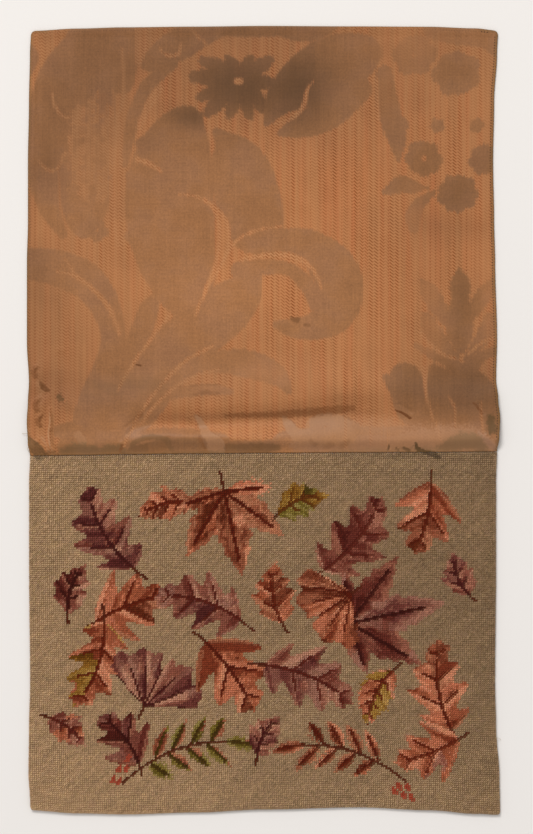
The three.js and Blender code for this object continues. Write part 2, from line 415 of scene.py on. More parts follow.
FRONDS = {
    "scroll back": ((-140, 376, 18), (-162, 360, 15), (-181, 340, 14), (-192, 316, 13), (-196, 284, 14),
        (-195, 248, 14), (-189, 216, 9), (-178, 194, 4)),
    "scroll body": ((-150, 372, 20), (-160, 340, 26), (-161, 312, 29), (-160, 282, 27), (-157, 250, 24),
        (-158, 218, 20), (-160, 198, 8)),
    "scroll stem": ((-80, 344, 4), (-101, 327, 6), (-113, 305, 5.5), (-119, 279, 5), (-123, 256, 3)),
    "scroll top": ((-134, 376, 20), (-128, 352, 17), (-126, 330, 12)),
    "edge scrap": ((-208, 361, 2), (-204, 352, 5), (-206, 341, 4), (-209, 334, 2)),
    "top leaf": ((-100, 346, 9), (-88, 354, 12), (-74, 362, 14), (-58, 370, 12), (-40, 374, 7)),
    "top band": ((-70, 380, 9), (-40, 380, 11), (0, 380, 12), (50, 381, 9)),
    "plume tip": ((-109, 274, 5), (-96, 275, 9), (-83, 280, 12)),
    "plume": ((-62, 300, 5), (-71, 288, 19), (-80, 261, 33), (-83, 229, 39), (-81, 194, 38), (-74, 162, 31),
        (-66, 136, 20)),
    "plume lobe": ((-118, 246, 4), (-112, 238, 8), (-106, 222, 10)),
    "plume heel": ((-118, 192, 5), (-106, 186, 10), (-96, 176, 12)),
    "right plume": ((-42, 284, 4), (-30, 270, 13), (-22, 251, 26), (-14, 225, 29), (-8, 202, 25),
        (4, 189, 12), (36, 185, 14), (59, 167, 20), (67, 145, 21), (62, 123, 17), (45, 113, 12),
        (27, 111, 9), (12, 114, 4)),
    "inner curl": ((-22, 162, 8), (0, 165, 7), (22, 163, 6), (38, 149, 7), (45, 131, 5)),
    "long leaf": ((-6, 156, 5), (-18, 142, 16), (-30, 131, 22), (-48, 116, 24), (-70, 98, 24),
        (-92, 77, 26), (-114, 55, 30), (-134, 30, 30), (-140, 10, 24)),
    "middle leaf": ((-95, 140, 4), (-103, 124, 9), (-111, 98, 10), (-119, 70, 12)),
    "edge leaf": ((-207, 168, 14), (-182, 164, 16), (-156, 152, 16), (-140, 130, 13), (-133, 102, 11),
        (-137, 72, 15), (-148, 40, 18), (-160, 12, 12)),
    "scalloped leaf": ((-86, 64, 3), (-62, 78, 8), (-36, 82, 11), (-10, 79, 13), (12, 69, 9), (22, 55, 3)),
    "small frond": ((-97, 47, 3), (-74, 54, 4.5), (-48, 57, 5), (-30, 55, 3)),
    "bud": ((2, 292, 3), (16, 314, 14), (38, 330, 24), (62, 343, 27), (84, 352, 19), (95, 358, 8)),
    "bud cup": ((14, 283, 3), (34, 290, 11), (58, 302, 15), (82, 322, 13)),
    "top crescent": ((12, 372, 3), (30, 371, 7), (48, 374, 8), (60, 380, 6)),
    "hanging leaf": ((106, 336, 8), (108, 316, 10), (112, 297, 11), (117, 279, 9), (119, 260, 3)),
    "hanging side": ((118, 300, 4), (124, 290, 5)),
    "corner leaf": ((148, 374, 8), (172, 370, 9), (196, 370, 12), (206, 356, 6)),
    "dome leaf": ((106, 231, 3), (113, 234, 6), (121, 238, 8.5), (129, 236, 7), (138, 235, 4),
        (145, 235, 2)),
    "thin stalk": ((150, 231, 2), (143, 226, 4), (136, 219, 6), (132, 210, 7), (132, 200, 5)),
    "palm spike": ((173, 162, 3), (173, 149, 10), (173, 137, 9), (173, 121, 13), (173, 106, 12),
        (174, 92, 5)),
    "palm left": ((140, 153, 3), (147, 141, 9), (155, 127, 8), (163, 113, 4)),
    "palm right": ((205, 154, 4), (195, 142, 8), (187, 129, 7), (181, 118, 4)),
    "palm low left": ((143, 122, 5), (148, 109, 9), (157, 97, 8), (168, 86, 5)),
    "palm low right": ((199, 120, 6), (195, 106, 8), (187, 95, 6), (179, 84, 4)),
    "left arm": ((134, 96, 2), (148, 88, 4), (163, 81, 5), (176, 70, 9)),
    "right arm": ((206, 92, 4), (192, 86, 5), (180, 74, 8)),
    "round leaf": ((120, 74, 6), (125, 66, 14), (127, 54, 15), (134, 42, 14)),
    "round leaf side": ((108, 68, 3), (114, 60, 6)),
    "foot leaf": ((150, 76, 4), (158, 60, 14), (164, 42, 18), (172, 24, 18)),
    "foot leaf right": ((180, 74, 4), (187, 58, 14), (194, 40, 17), (198, 20, 17)),
    "foot fill": ((120, 48, 7), (130, 38, 12), (150, 31, 16), (180, 30, 17), (204, 28, 14)),
    "foot left": ((-180, 20, 6), (-160, 18, 12), (-130, 16, 14), (-112, 10, 10)),
    "seam blossom": ((46, 27, 6), (54, 30, 6), (62, 28, 6), (70, 28, 6), (78, 22, 7)),
    "seam bud": ((17, 33, 1.5), (22, 26, 4.5), (26, 18, 6)),
    "seam band left": ((-176, 6, 7), (-150, 8, 12), (-120, 8, 11), (-90, 9, 14), (-60, 9, 13),
        (-40, 6, 13)),
    "seam band middle": ((-34, 4, 8), (0, 4, 8.5), (20, 6, 9)),
    "seam band right": ((20, 8, 13), (60, 10, 15), (110, 10, 14), (160, 12, 15), (204, 12, 14)),
    "seam petal": ((-60, 34, 1), (-57, 29, 2.6), (-54, 23, 3.6)),
    "daisy left": ((-26, 329, 6), (-44, 332, 9), (-61, 333, 6)),
    "daisy left low": ((-26, 325, 6), (-42, 320, 8), (-56, 315, 5)),
    "daisy top left": ((-28, 334, 6), (-42, 342, 8), (-54, 347, 5)),
    "daisy top": ((-24, 334, 6), (-28, 343, 7), (-32, 350, 4)),
    "daisy top middle": ((-21, 334, 6), (-14, 344, 7), (-11, 350, 4)),
    "daisy top right": ((-18, 333, 6), (-4, 342, 8), (5, 348, 5)),
    "daisy right": ((-16, 329, 6), (-3, 328, 8), (7, 328, 4)),
    "daisy low right": ((-18, 324, 6), (-6, 313, 8), (-1, 303, 4)),
    "daisy low middle": ((-21, 322, 6), (-15, 307, 7), (-12, 297, 4)),
    "daisy low": ((-24, 321, 6), (-28, 307, 7), (-31, 298, 4)),
    "daisy low left": ((-28, 322, 6), (-42, 309, 8), (-50, 301, 5)),
}

BLOOMS = columns(
    "x above radius petals depth turn heart",
    (-24, 328, 16, 9, 0.3, 8, 0),
    (133, 352, 19, 6, 0.14, 0, 1.8),
    (170, 336, 21, 7, 0.12, 20, 0),
    (141, 261, 16.5, 8, 0.14, 0, 2.2),
    (194, 260, 14, 7, 0.16, 15, 0),
    (171, 230, 18, 9, 0.12, 0, 0),
    (153, 290, 6.5, 5, 0.1, 30, 0),
    (188, 290, 6.5, 5, 0.1, 0, 0),
    (-148, 198, 11, 5, 0.2, 12, 1.8),
)

# Veins and openings between the fronds, where the ribbed ground shows through
OPENINGS = {
    "scroll fork": ((-187, 318, 0.8), (-184, 306, 1.3), (-175, 297, 1.3), (-165, 300, 1), (-153, 307, 1),
        (-147, 320, 0.8)),
    "scroll hook": ((-199, 259, 0.8), (-193, 252, 1.2), (-186, 250, 1.2), (-180, 255, 1), (-178, 264, 0.8)),
    "scroll stripe": ((-125, 358, 0.8), (-124, 334, 1.2), (-125, 310, 1.3), (-131, 294, 1)),
    "stem gap": ((-128, 292, 1.4), (-129, 272, 3), (-130, 242, 4.5), (-129, 206, 4.5), (-127, 186, 3)),
    "stem under": ((-92, 322, 3), (-104, 304, 3), (-110, 288, 2.6)),
    "top vein": ((-66, 377, 1), (-59, 369, 1.2), (-51, 362, 1)),
    "top curl": ((-92, 358, 1), (-86, 352, 1.4), (-76, 353, 1.6), (-73, 362, 1)),
    "top gap": ((-108, 378, 6), (-108, 362, 5), (-110, 346, 3)),
    "notch": ((-112, 260, 2.4), (-101, 256, 2.2), (-90, 249, 1.2)),
    "plume vein": ((-75, 229, 0.9), (-59, 227, 1.3), (-46, 219, 2.2), (-37, 206, 4.4), (-35, 189, 5.2),
        (-39, 171, 4.2), (-49, 150, 2), (-61, 122, 1)),
    "curl outside": ((-36, 174, 1.8), (-22, 190, 1.3), (-4, 198, 1), (16, 201, 0.7)),
    "curl gap": ((-20, 171, 1.2), (4, 176, 2), (27, 174, 2.4), (43, 163, 1.8), (51, 146, 0.8)),
    "stem line": ((-83, 123, 0.8), (-100, 101, 1.3), (-116, 79, 1.4), (-130, 55, 1)),
    "band line": ((-183, 161, 1), (-169, 158, 1.4), (-155, 149, 1.8), (-142, 136, 2), (-133, 122, 2),
        (-128, 106, 1.6)),
    "band prong": ((-175, 172, 0.8), (-167, 158, 1)),
    "foot line": ((-46, 95, 1.4), (-68, 83, 1.6), (-86, 66, 1.5), (-103, 45, 1.4), (-117, 22, 1.3),
        (-124, 5, 1)),
    "scallop line": ((-40, 75, 0.9), (-61, 69, 1.2), (-78, 59, 1.3), (-94, 45, 1.3), (-109, 26, 1.1)),
    "bud vein": ((10, 291, 1), (26, 297, 1.4), (35, 308, 1.7), (38, 320, 1.2), (43, 329, 0.8)),
    "palm vein left": ((138, 108, 1), (146, 98, 1.2), (158, 88, 1.3), (170, 84, 1)),
    "palm vein right": ((206, 104, 1), (192, 98, 1.2), (180, 88, 1)),
    "hanging vein": ((99, 330, 1.4), (100, 312, 1), (101, 296, 1.2)),
    "foot rib left": ((141, 76, 1.6), (143, 56, 1.3), (147, 37, 1), (152, 25, 1), (156, 12, 0.8)),
    "foot rib middle": ((162, 51, 0.6), (167, 44, 0.9), (169, 37, 0.9), (169, 24, 0.7)),
    "foot rib right": ((191, 46, 0.6), (191.5, 32, 0.9), (194, 20, 0.8)),
    "daisy heart": ((-23.4, 329, 3.2), (-21.6, 329, 3.2)),
    "seam thread one": ((72, 36, 0.9), (71.5, 6, 1)),
    "seam thread two": ((94, 34, 0.6), (95, 8, 0.9)),
    "seam thread three": ((104, 30, 0.6), (105, 8, 0.9)),
    "seam thread four": ((110, 22, 0.6), (109.5, 8, 0.9)),
}

# Scallops along the upper side of the scalloped leaf, and the teeth of the palm, the daisy and two leaves
SCALLOPS = {"long": 9.0, "deep": 1.6, "above": 78.0, "fade": 8.0, "tooth": 5.6}

# Patch in the great scroll where the satin is broken up into lace: its place, the grain of its net, the half
# width of the net's lines, from where its meshes are open, and by how much the net closes where it fades out
LACE = {
    "x": -150, "above": 268, "half_wide": 36, "half_high": 66,
    "grain": 8.4, "line": 1.5, "open": 0.62, "fade": 6.0,
}

# How far outside a place counts as where no stroke is near, and how far round a stroke its depth is found
FAR = 30.0
STROKE_REACH = 12.0
# Limits of the depths that are kept: in millimetres in the satin, and in shares of the softness in a mark
FIELD_LIMIT = 8.0
MARK_LIMIT = 3.0


def smooth_path(points, steps=10):
    """A smooth line through a few points: Catmull-Rom spans, with the width carried along."""
    given = np.array(points, float)
    ends = np.concatenate([[2 * given[0] - given[1]], given, [2 * given[-1] - given[-2]]])
    share = np.linspace(0.0, 1.0, steps, endpoint=False)[:, None]
    spans = []
    for k in range(1, len(ends) - 2):
        a, b, c, d = ends[k - 1 : k + 3]
        bent = (2 * a - 5 * b + 4 * c - d) * share**2 + (3 * b - a - 3 * c + d) * share**3
        spans.append(0.5 * (2 * b + (c - a) * share + bent))
    return np.concatenate([*spans, given[-1:]])


def stroke(x, above, points):
    """How far inside a tapering stroke each place lies: its half width there less the way from its line."""
    line = smooth_path(points)
    field = np.full(x.shape, -FAR)
    reach = line[:, 2].max() + STROKE_REACH
    low, high = line[:, :2].min(0) - reach, line[:, :2].max(0) + reach
    near = (x > low[0]) & (x < high[0]) & (above > low[1]) & (above < high[1])
    near_x, near_above, best = x[near], above[near], field[near]
    for start, end in zip(line[:-1], line[1:]):
        distance, share = from_line(near_x, near_above, start, end)
        best = np.maximum(best, start[2] + (end[2] - start[2]) * share - distance)
    field[near] = best
    return field


def bloom(x, above, middle_x, middle_above, radius, petals, depth, turn, heart):
    """A flower: a circle drawn in between its petals, uneven, with small teeth, and maybe an open heart."""
    dx, dy = x - middle_x, above - middle_above
    angle = np.arctan2(dy, dx) + math.radians(turn)
    notch = (1.0 - np.abs(np.cos(angle * petals / 2))) ** 1.2
    uneven = 0.05 * np.sin(2 * angle + middle_x) + 0.04 * np.sin(5 * angle + middle_above)
    edge = radius * (1.0 - depth * notch + uneven) + 0.8 * np.cos(4 * petals * angle)
    field = edge - np.hypot(dx, dy)
    return np.minimum(field, np.hypot(dx, dy) - heart) if heart else field


def satin_field(x, above):
    """Millimetres inside (or, below nothing, outside) the satin figure, and the same for its openings.

    The figure is all fronds and blooms, broken up by the lace, less the openings.
    """
    field = np.full(x.shape, -FAR)
    for name, points in FRONDS.items():
        part = stroke(x, above, points)
        if name == "scalloped leaf":
            scallop = SCALLOPS["deep"] * np.abs(np.sin(math.pi * x / SCALLOPS["long"]))
            part = part - scallop * ease((above - SCALLOPS["above"]) / SCALLOPS["fade"])
        if name.startswith(("palm", "daisy", "hanging", "dome")):
            tooth = 0.5 + 0.5 * np.sin(2 * math.pi * (above + 0.5 * x) / SCALLOPS["tooth"])
            part = part - SCALLOPS["deep"] * tooth
        field = np.maximum(field, part)
    for flower in zip(*BLOOMS.values()):
        field = np.maximum(field, bloom(x, above, *flower))
    grain = LACE["grain"]
    lace = soft_noise(x, above, grain, SEED + 1) + 0.5 * soft_noise(x, above, grain / 2, SEED + 2)
    inside = 1.0 - np.hypot((x - LACE["x"]) / LACE["half_wide"], (above - LACE["above"]) / LACE["half_high"])
    net = np.maximum(LACE["line"] - grain / 2 * np.abs(lace), grain / 2 * (lace - LACE["open"]))
    opening = np.where(inside > 0.0, net - LACE["fade"] * (1.0 - ease(inside * 2.5)), -FIELD_LIMIT)
    for points in OPENINGS.values():
        opening = np.maximum(opening, stroke(x, above, points))
    return np.clip(np.minimum(field, -opening), -FIELD_LIMIT, FIELD_LIMIT), opening


# Soft spots of the silk, each with its middle and its reach along X and across it. First, by how much the
# silk is made lighter or darker than its plain colour: partly uneven colour, and partly painted light and
# shade, as the satin's painted sheen, painted shade in the trough of the roll and painted light on the slope
# by the seam
SILK_LIGHT_AND_TONES = columns(
    "x above long wide strength",
    (0, 390, 300, 60, -0.2), (-16, 328, 96, 44, -0.12), (-206, 352, 14, 44, 0.16), (-178, 362, 16, 18, 0.1),
    (-150, 350, 40, 40, -0.06), (-200, 208, 12, 20, 0.1), (-190, 290, 26, 60, -0.1),
    (-20, 150, 120, 60, 0.1), (-45, 145, 60, 22, 0.12), (0, 60, 150, 20, 0.02), (190, 56, 60, 40, -0.14),
    (178, 66, 40, 26, -0.12), (20, 300, 20, 14, -0.1), (-130, 330, 60, 50, -0.06), (-20, 378, 60, 10, -0.1),
    (122, 367, 16, 14, 0.1), (192, 312, 14, 24, 0.08), (-196, 164, 18, 20, -0.14),
    (-187, 136, 14, 18, -0.1), (-190, 246, 14, 16, -0.14), (178, 200, 26, 12, -0.14),
    (146, 205, 20, 14, -0.14), (170, 124, 14, 18, 0.08), (66, 230, 50, 50, 0.03), (-160, 70, 50, 50, -0.04),
    (-140, 50, 90, 14, -0.1), (44, 28, 30, 8, -0.08), (-70, 32, 44, 3.6, -0.16), (-10, 33.5, 40, 3.4, -0.2),
    (50, 37, 40, 3.6, -0.2), (-30, 21, 60, 6, 0.06), (0, 3, 260, 6, 0.3), (116, 6, 104, 9, 0.34),
    (26, 8, 14, 8, 0.14), (30, 304, 180, 56, -0.11), (-142, 302, 24, 28, -0.1), (146, 172, 34, 60, -0.11),
    (-176, 56, 50, 20, -0.12), (110, 50, 110, 12, -0.09), (-205, 140, 14, 90, -0.07),
    (-192, 70, 24, 44, -0.08), (-130, 28, 16, 8, 0.1), (200, 180, 16, 60, 0.06),
    (-210, 200, 12, 240, -0.08), (206, 220, 10, 160, -0.06), (-170, 330, 44, 60, -0.04),
    (60, 352, 40, 20, 0.04),
)

# How much darker the satin figure is painted in places: painted shade where its sheen is lower
SATIN_SHADE = columns(
    "x above long wide strength",
    (-24, 326, 44, 36, 0.64), (34, 322, 24, 34, 0.5), (66, 336, 40, 26, 0.16), (-66, 297, 18, 10, 0.44),
    (-108, 278, 18, 14, 0.24), (112, 300, 16, 36, 0.2), (170, 338, 24, 24, 0.18), (196, 262, 20, 22, 0.24),
    (141, 261, 20, 20, 0.2), (124, 240, 18, 14, 0.16), (172, 230, 24, 22, 0.36), (148, 216, 16, 16, 0.16),
    (174, 134, 14, 40, 0.4), (180, 58, 44, 30, 0.36), (126, 62, 24, 24, 0.3), (-148, 198, 14, 14, 0.16),
    (-120, 340, 60, 40, 0.08), (-186, 300, 20, 60, 0.14),
)

# Where the figure is worn down to the ground
FAINT = columns(
    "x above long wide strength",
    (146, 142, 12, 16, 0.5), (148, 110, 10, 14, 0.5), (200, 146, 9, 14, 0.35), (200, 112, 9, 14, 0.4),
    (140, 92, 16, 8, 0.4), (133, 354, 24, 22, 0.3), (150, 366, 60, 12, 0.3), (108, 316, 14, 24, 0.3),
    (140, 236, 14, 10, 0.25), (134, 206, 12, 14, 0.7), (-124, 300, 14, 60, 0.16), (-150, 262, 22, 40, 0.14),
    (6, 72, 24, 12, 0.45), (-52, 56, 40, 8, 0.3), (150, 20, 60, 12, 0.3),
)

# Dark marks on the silk: stains, and painted shade in the roll's trough, beside the seam, in creases and
# folds and round the crescent puckers. Each has its strength, how green, softness of the border, and a path
# with its half widths
DARKS = {
    # Beside the seam: stains, and painted shade where the cloth dips to the seam
    "left band": (0.5, 0.85, 6.0, ((-177, 2, 4), (-163, 4, 6), (-145, 2, 4.6), (-132, 4, 5.4),
        (-125, 2, 4.4))),
    "left seam": (0.4, 0.8, 3.0, ((-198, 0, 2.4), (-150, 0.4, 3), (-120, 0.6, 3), (-60, 0.8, 2.6),
        (-36, 0.8, 2.4))),
    # Painted shade in the trough of the roll
    "trough": (0.5, 0.0, 3.4, ((-34, 34, 1.6), (0, 34.6, 2.6), (30, 36, 3.4), (60, 38.6, 4),
        (78, 40.6, 2.6))),
    "left wedge": (0.6, 0.1, 1.0, ((-125, 8, 1.2), (-127, 1.8, 1.8))),
    # Painted shade in the fold at the left corner, with a stain
    "corner fold": (0.66, 0.6, 1.2, ((-208, 14, 1.6), (-204, 9, 3.6), (-200, 3.5, 5.4), (-197.5, -1, 5.4))),
    # Painted shade in a crease
    "slanting crease": (0.4, 0.1, 2.0, ((-107, 35, 1.2), (-117, 24, 1.8), (-121.5, 18, 1.2))),
    # Painted shadow in an arch under the roll beside the seam, with stains
    "arch": (0.46, 0.6, 2.0, ((-118, 3, 2.4), (-113.5, 10.5, 2.3), (-106, 14, 2.4), (-96, 15, 2.4),
        (-87, 12.8, 2.8), (-82.5, 7, 3.2), (-81, 1, 2.8))),
    "arch foot": (0.5, 0.5, 2.4, ((-114, 4, 3.6), (-103, 5, 4.6))),
    "arch inside": (0.3, 0.5, 1.4, ((-99, 5, 6), (-91.5, 6, 6))),
    "grey middle": (0.26, 0.6, 3.0, ((-77, 6.5, 7), (-60, 7.5, 7))),
    "brown patch": (0.4, 0.05, 2.4, ((-56.5, 15, 2), (-54.7, 10.6, 3.6), (-52, 6.5, 2.4))),
    "straight patch": (0.46, 0.6, 3.4, ((-30.6, 4.6, 4.2), (-12, 5.2, 4.4), (2, 5.2, 4.4), (12, 5.4, 3))),
    "straight end": (0.5, 0.4, 1.0, ((-33.4, 8.4, 1), (-33.4, 1, 1))),
    "smudge one": (0.22, 0.1, 2.4, ((41, 12, 1.4), (45, 8, 2.2))),
    "smudge two": (0.2, 0.1, 2.4, ((54, 6, 2.6), (60, 8, 2.6))),
    "smudge three": (0.2, 0.1, 2.4, ((69, 7, 2.6), (74, 11, 2.2))),
    "speck one": (0.8, 0.5, 0.9, ((110, 9, 0.6), (110, 4.4, 1))),
    "speck two": (0.7, 0.5, 0.9, ((116.4, 5.6, 1), (118.4, 3.4, 1.2))),
    "speck three": (0.8, 0.5, 0.9, ((123, 5.6, 1.1), (127.4, 3.4, 1.7))),
    "smear": (0.95, 0.5, 0.9, ((133.6, 9.6, 1.1), (136, 4.4, 2), (141.4, 1.8, 2.1), (148, 0, 2.5),
        (155, -2.8, 1.5))),
    # Beside the seam: stains, and painted shade where the cloth dips to the seam
    "grey corner": (0.44, 0.9, 5.0, ((150, 1.5, 2), (160, 6, 5), (169, 9.5, 7), (178, 11.5, 8),
        (187, 10, 7), (193, 4, 4))),
    "grey right": (0.22, 0.9, 4.0, ((60, 0.5, 3), (100, 1, 4), (140, 2, 5), (160, 2, 4))),
    "green smudge": (0.85, 0.5, 4.0, ((200, 32, 3.4), (201, 22, 4.6))),
    # Painted shade in two creases
    "right crease": (0.9, 0.0, 0.9, ((115.5, 39, 0.7), (122, 36.2, 1.1), (129, 31.8, 1.2))),
    "corner crease": (0.6, 0.0, 1.2, ((184, 45.5, 0.6), (188, 42, 1.2), (192.6, 35.5, 0.7))),
    "left spot": (0.8, 0.4, 3.0, ((-181, 50.5, 2.6), (-179, 48, 2.6))),
    "thread shade": (0.34, 0.3, 1.4, ((-187.2, 36, 0.6), (-186.6, 27, 1.3), (-187.6, 18, 1.3),
        (-186.4, 8, 1))),
    "left shade": (0.2, 0.4, 6.0, ((-178, 46, 6), (-172, 40, 4))),
    "low shade": (0.24, 0.5, 9.0, ((-122, 64, 5), (-92, 60, 6))),
    "low arc": (0.34, 0.1, 3.0, ((-62, 52, 1), (-52, 54.4, 1.8), (-40, 53, 1.4))),
    "low line": (0.34, 0.1, 1.6, ((-78, 59, 0.4), (-58, 60.6, 0.6), (-36, 61.6, 0.4))),
    "low stain": (0.18, 0.6, 8.0, ((-150, 62, 4), (-130, 58, 5))),
    "slit": (0.95, 0.1, 0.8, ((-113.8, 79.4, 0.7), (-108, 77.8, 0.9))),
    "curl spot": (0.55, 0.2, 2.2, ((25, 119.5, 2.4), (29, 118.5, 3))),
    "curl speck": (0.45, 0.2, 1.4, ((36, 114, 1.4), (40, 113.6, 1.2))),
    # Painted shade round the crescent puckers
    "first crescent": (0.45, 0.1, 3.0, ((-200, 77, 1.4), (-202.4, 74.6, 2.6), (-202.6, 71, 3),
        (-200.6, 68, 2))),
    "wedge": (0.75, 0.1, 1.2, ((-197.4, 63, 1), (-194.4, 58.4, 2.5), (-189.6, 55.4, 1.1))),
    "second crescent": (0.45, 0.0, 3.0, ((-198, 48, 1.4), (-201, 45, 2.6), (-201.4, 41.5, 3),
        (-199.4, 38.6, 1.6))),
    "third crescent": (0.48, 0.0, 2.6, ((-195.4, 33.8, 1.4), (-198.4, 31.4, 2.4), (-199, 28, 2.6),
        (-197, 25, 1.8))),
    "scroll shade": (0.2, 0.3, 12.0, ((-191, 268, 6), (-190, 258, 6))),
    "centre smudge": (0.16, 0.2, 3.0, ((-108, 210, 1.5), (-99, 209, 1.5))),
}

# Paler silk, rubbed and faded, with painted highlights on the roll's ridge, a fold, a petal and two creases,
# and
# painted light beside the seam: strength, how pink, softness of the border, and a path with its half widths
PALES = {
    # Faded silk beside the seam, paler also as painted light on the slope the roll shades; the rise is a
    # painted highlight on the ridge
    "right band": (0.55, 0.6, 9.0, ((112, 8, 10), (140, 9.5, 14), (178, 9, 14), (204, 3, 8))),
    "right rise": (0.4, 0.4, 10.0, ((76, 20, 8), (96, 22, 10), (116, 20, 10))),
    "middle band": (0.5, 0.7, 6.0, ((30, 8, 6), (50, 7, 7), (76, 9, 9), (104, 9, 10))),
    "blossom": (0.5, 0.4, 0.9, ((41, 25, 4), (44, 27, 6), (46.5, 28, 5), (50, 28.6, 7), (53.5, 29.4, 5.8),
        (57.5, 29.4, 7.2), (61, 29, 6), (64.5, 28.6, 6.8), (67.5, 27, 5.6), (71, 25, 6.4))),
    "blossom foot": (0.5, 0.4, 4.0, ((42, 14, 10), (56, 15, 12), (72, 14, 12))),
    "tongue": (0.5, 0.4, 1.1, ((17, 33, 1.2), (19, 29, 2.8), (22, 25, 4.6), (26, 20, 5), (34, 14, 7))),
    # Painted highlight
    "petal": (0.6, 0.5, 1.2, ((-60.5, 34.4, 0.8), (-57.4, 30, 2.4), (-54.4, 25, 3), (-50, 16, 5),
        (-43, 8, 8), (-40, 4, 6))),
    "slanting spot": (0.5, 0.3, 2.0, ((-119.5, 20.5, 1.4), (-121, 16.5, 1.8))),
    "left spot": (0.36, 0.3, 2.4, ((-164, 17, 3.4), (-160, 11.5, 4))),
    "left rub": (0.3, 0.3, 5.0, ((-200, 62, 2), (-196, 56, 3))),
    # Painted highlight on a fold
    "pink fold": (0.7, 1.0, 1.6, ((189, 19, 1.2), (196, 11.5, 3.2), (204, 3.5, 3.4))),
    # Painted highlights along two creases
    "thread crease": (0.95, 0.2, 0.9, ((-189.4, 36.6, 0.4), (-189, 27.4, 0.7), (-190.2, 18.5, 0.6),
        (-189, 8, 0.7), (-187, 3, 0.4))),
    "lower crease": (0.5, 0.2, 1.4, ((-196, 15, 0.8), (-192, 8, 1), (-190, 2, 0.8))),
}

# Where the ground is worn as dull as the figure
WEAR = columns(
    "x above long wide strength",
    (-60, 385, 170, 34, 0.5),
    (-150, 200, 100, 220, 0.4),
    (-152, 268, 34, 70, 0.4),
    (150, 350, 70, 50, 0.4),
    (170, 70, 60, 50, 0.5),
    (110, 20, 120, 20, 0.3),
    (-40, 120, 60, 30, 0.2),
    (-44, 66, 56, 26, 0.5),
    (-190, 110, 40, 60, 0.3),
    (196, 220, 20, 150, 0.3),
)


def marks(table, x, above):
    """Marks on the silk: how far inside the nearest, in shares of its softness, its strength and tint."""
    depth, strength, tint = np.full(x.shape, -MARK_LIMIT), 0.0 * x, 0.0 * x
    for strong, colour, soft, path in table.values():
        inside = np.clip(stroke(x, above, path) / soft, -MARK_LIMIT, MARK_LIMIT)
        wins = (inside > -MARK_LIMIT) & (inside + 2.0 * strong > depth + 2.0 * strength)
        depth = np.where(wins, inside, depth)
        strength, tint = np.where(wins, strong, strength), np.where(wins, colour, tint)
    return depth, strength, tint


def spots(table, x, above):
    """The sum of a table's soft spots: each is a strength times a bell along X and a bell across it."""
    total = 0.0 * x
    for sx, sa, long, wide, strong in zip(*table.values()):
        total = total + strong * bell(x - sx, long) * bell(above - sa, wide)
    return total


# The needlework's leaves: simple, chestnut and fan leaves and rowan sprigs, tossed over the ground

# Each yarn: four tones from dark to light, and the one of its veins
YARNS = {
    "rust": ((94, 38, 18), (120, 60, 38), (148, 86, 60), (172, 112, 82), (88, 28, 12)),
    "coral": ((122, 54, 32), (154, 84, 56), (182, 110, 80), (200, 134, 102), (96, 32, 14)),
    "rose": ((108, 52, 40), (134, 78, 62), (158, 104, 84), (178, 128, 104), (88, 32, 22)),
    "plum": ((84, 36, 32), (108, 56, 48), (132, 82, 68), (154, 106, 88), (72, 26, 22)),
    "maroon": ((78, 28, 20), (100, 44, 34), (122, 66, 52), (148, 92, 72), (62, 20, 14)),
    "gold": ((102, 62, 16), (132, 90, 32), (154, 116, 52), (172, 134, 74), (96, 50, 14)),
    "olive": ((76, 60, 16), (100, 84, 28), (124, 106, 46), (142, 124, 68), (70, 50, 14)),
}
STALK_YARN = (84, 36, 20)
BERRY_YARN = (156, 66, 46)

# Each kind of simple leaf: half width, number of side veins, depth of the lobes, slant of the veins, how
# pointed the ends are, and how far towards the border the side veins run
LEAF_KINDS = {
    "oak": {"half": 0.34, "veins": 3.6, "depth": 0.5, "slant": 0.62, "tip": 0.7, "run": 0.6},
    "beech": {"half": 0.3, "veins": 5.0, "depth": 0.14, "slant": 0.8, "tip": 0.9, "run": 0.5},
    "hawthorn": {"half": 0.46, "veins": 2.6, "depth": 0.56, "slant": 0.9, "tip": 0.8, "run": 0.66},
    "birch": {"half": 0.36, "veins": 4.0, "depth": 0.26, "slant": 0.7, "tip": 1.1, "run": 0.5},
    "leaflet": {"half": 0.22, "veins": 5.0, "depth": 0.2, "slant": 0.7, "tip": 1.0, "run": 0.0},
}

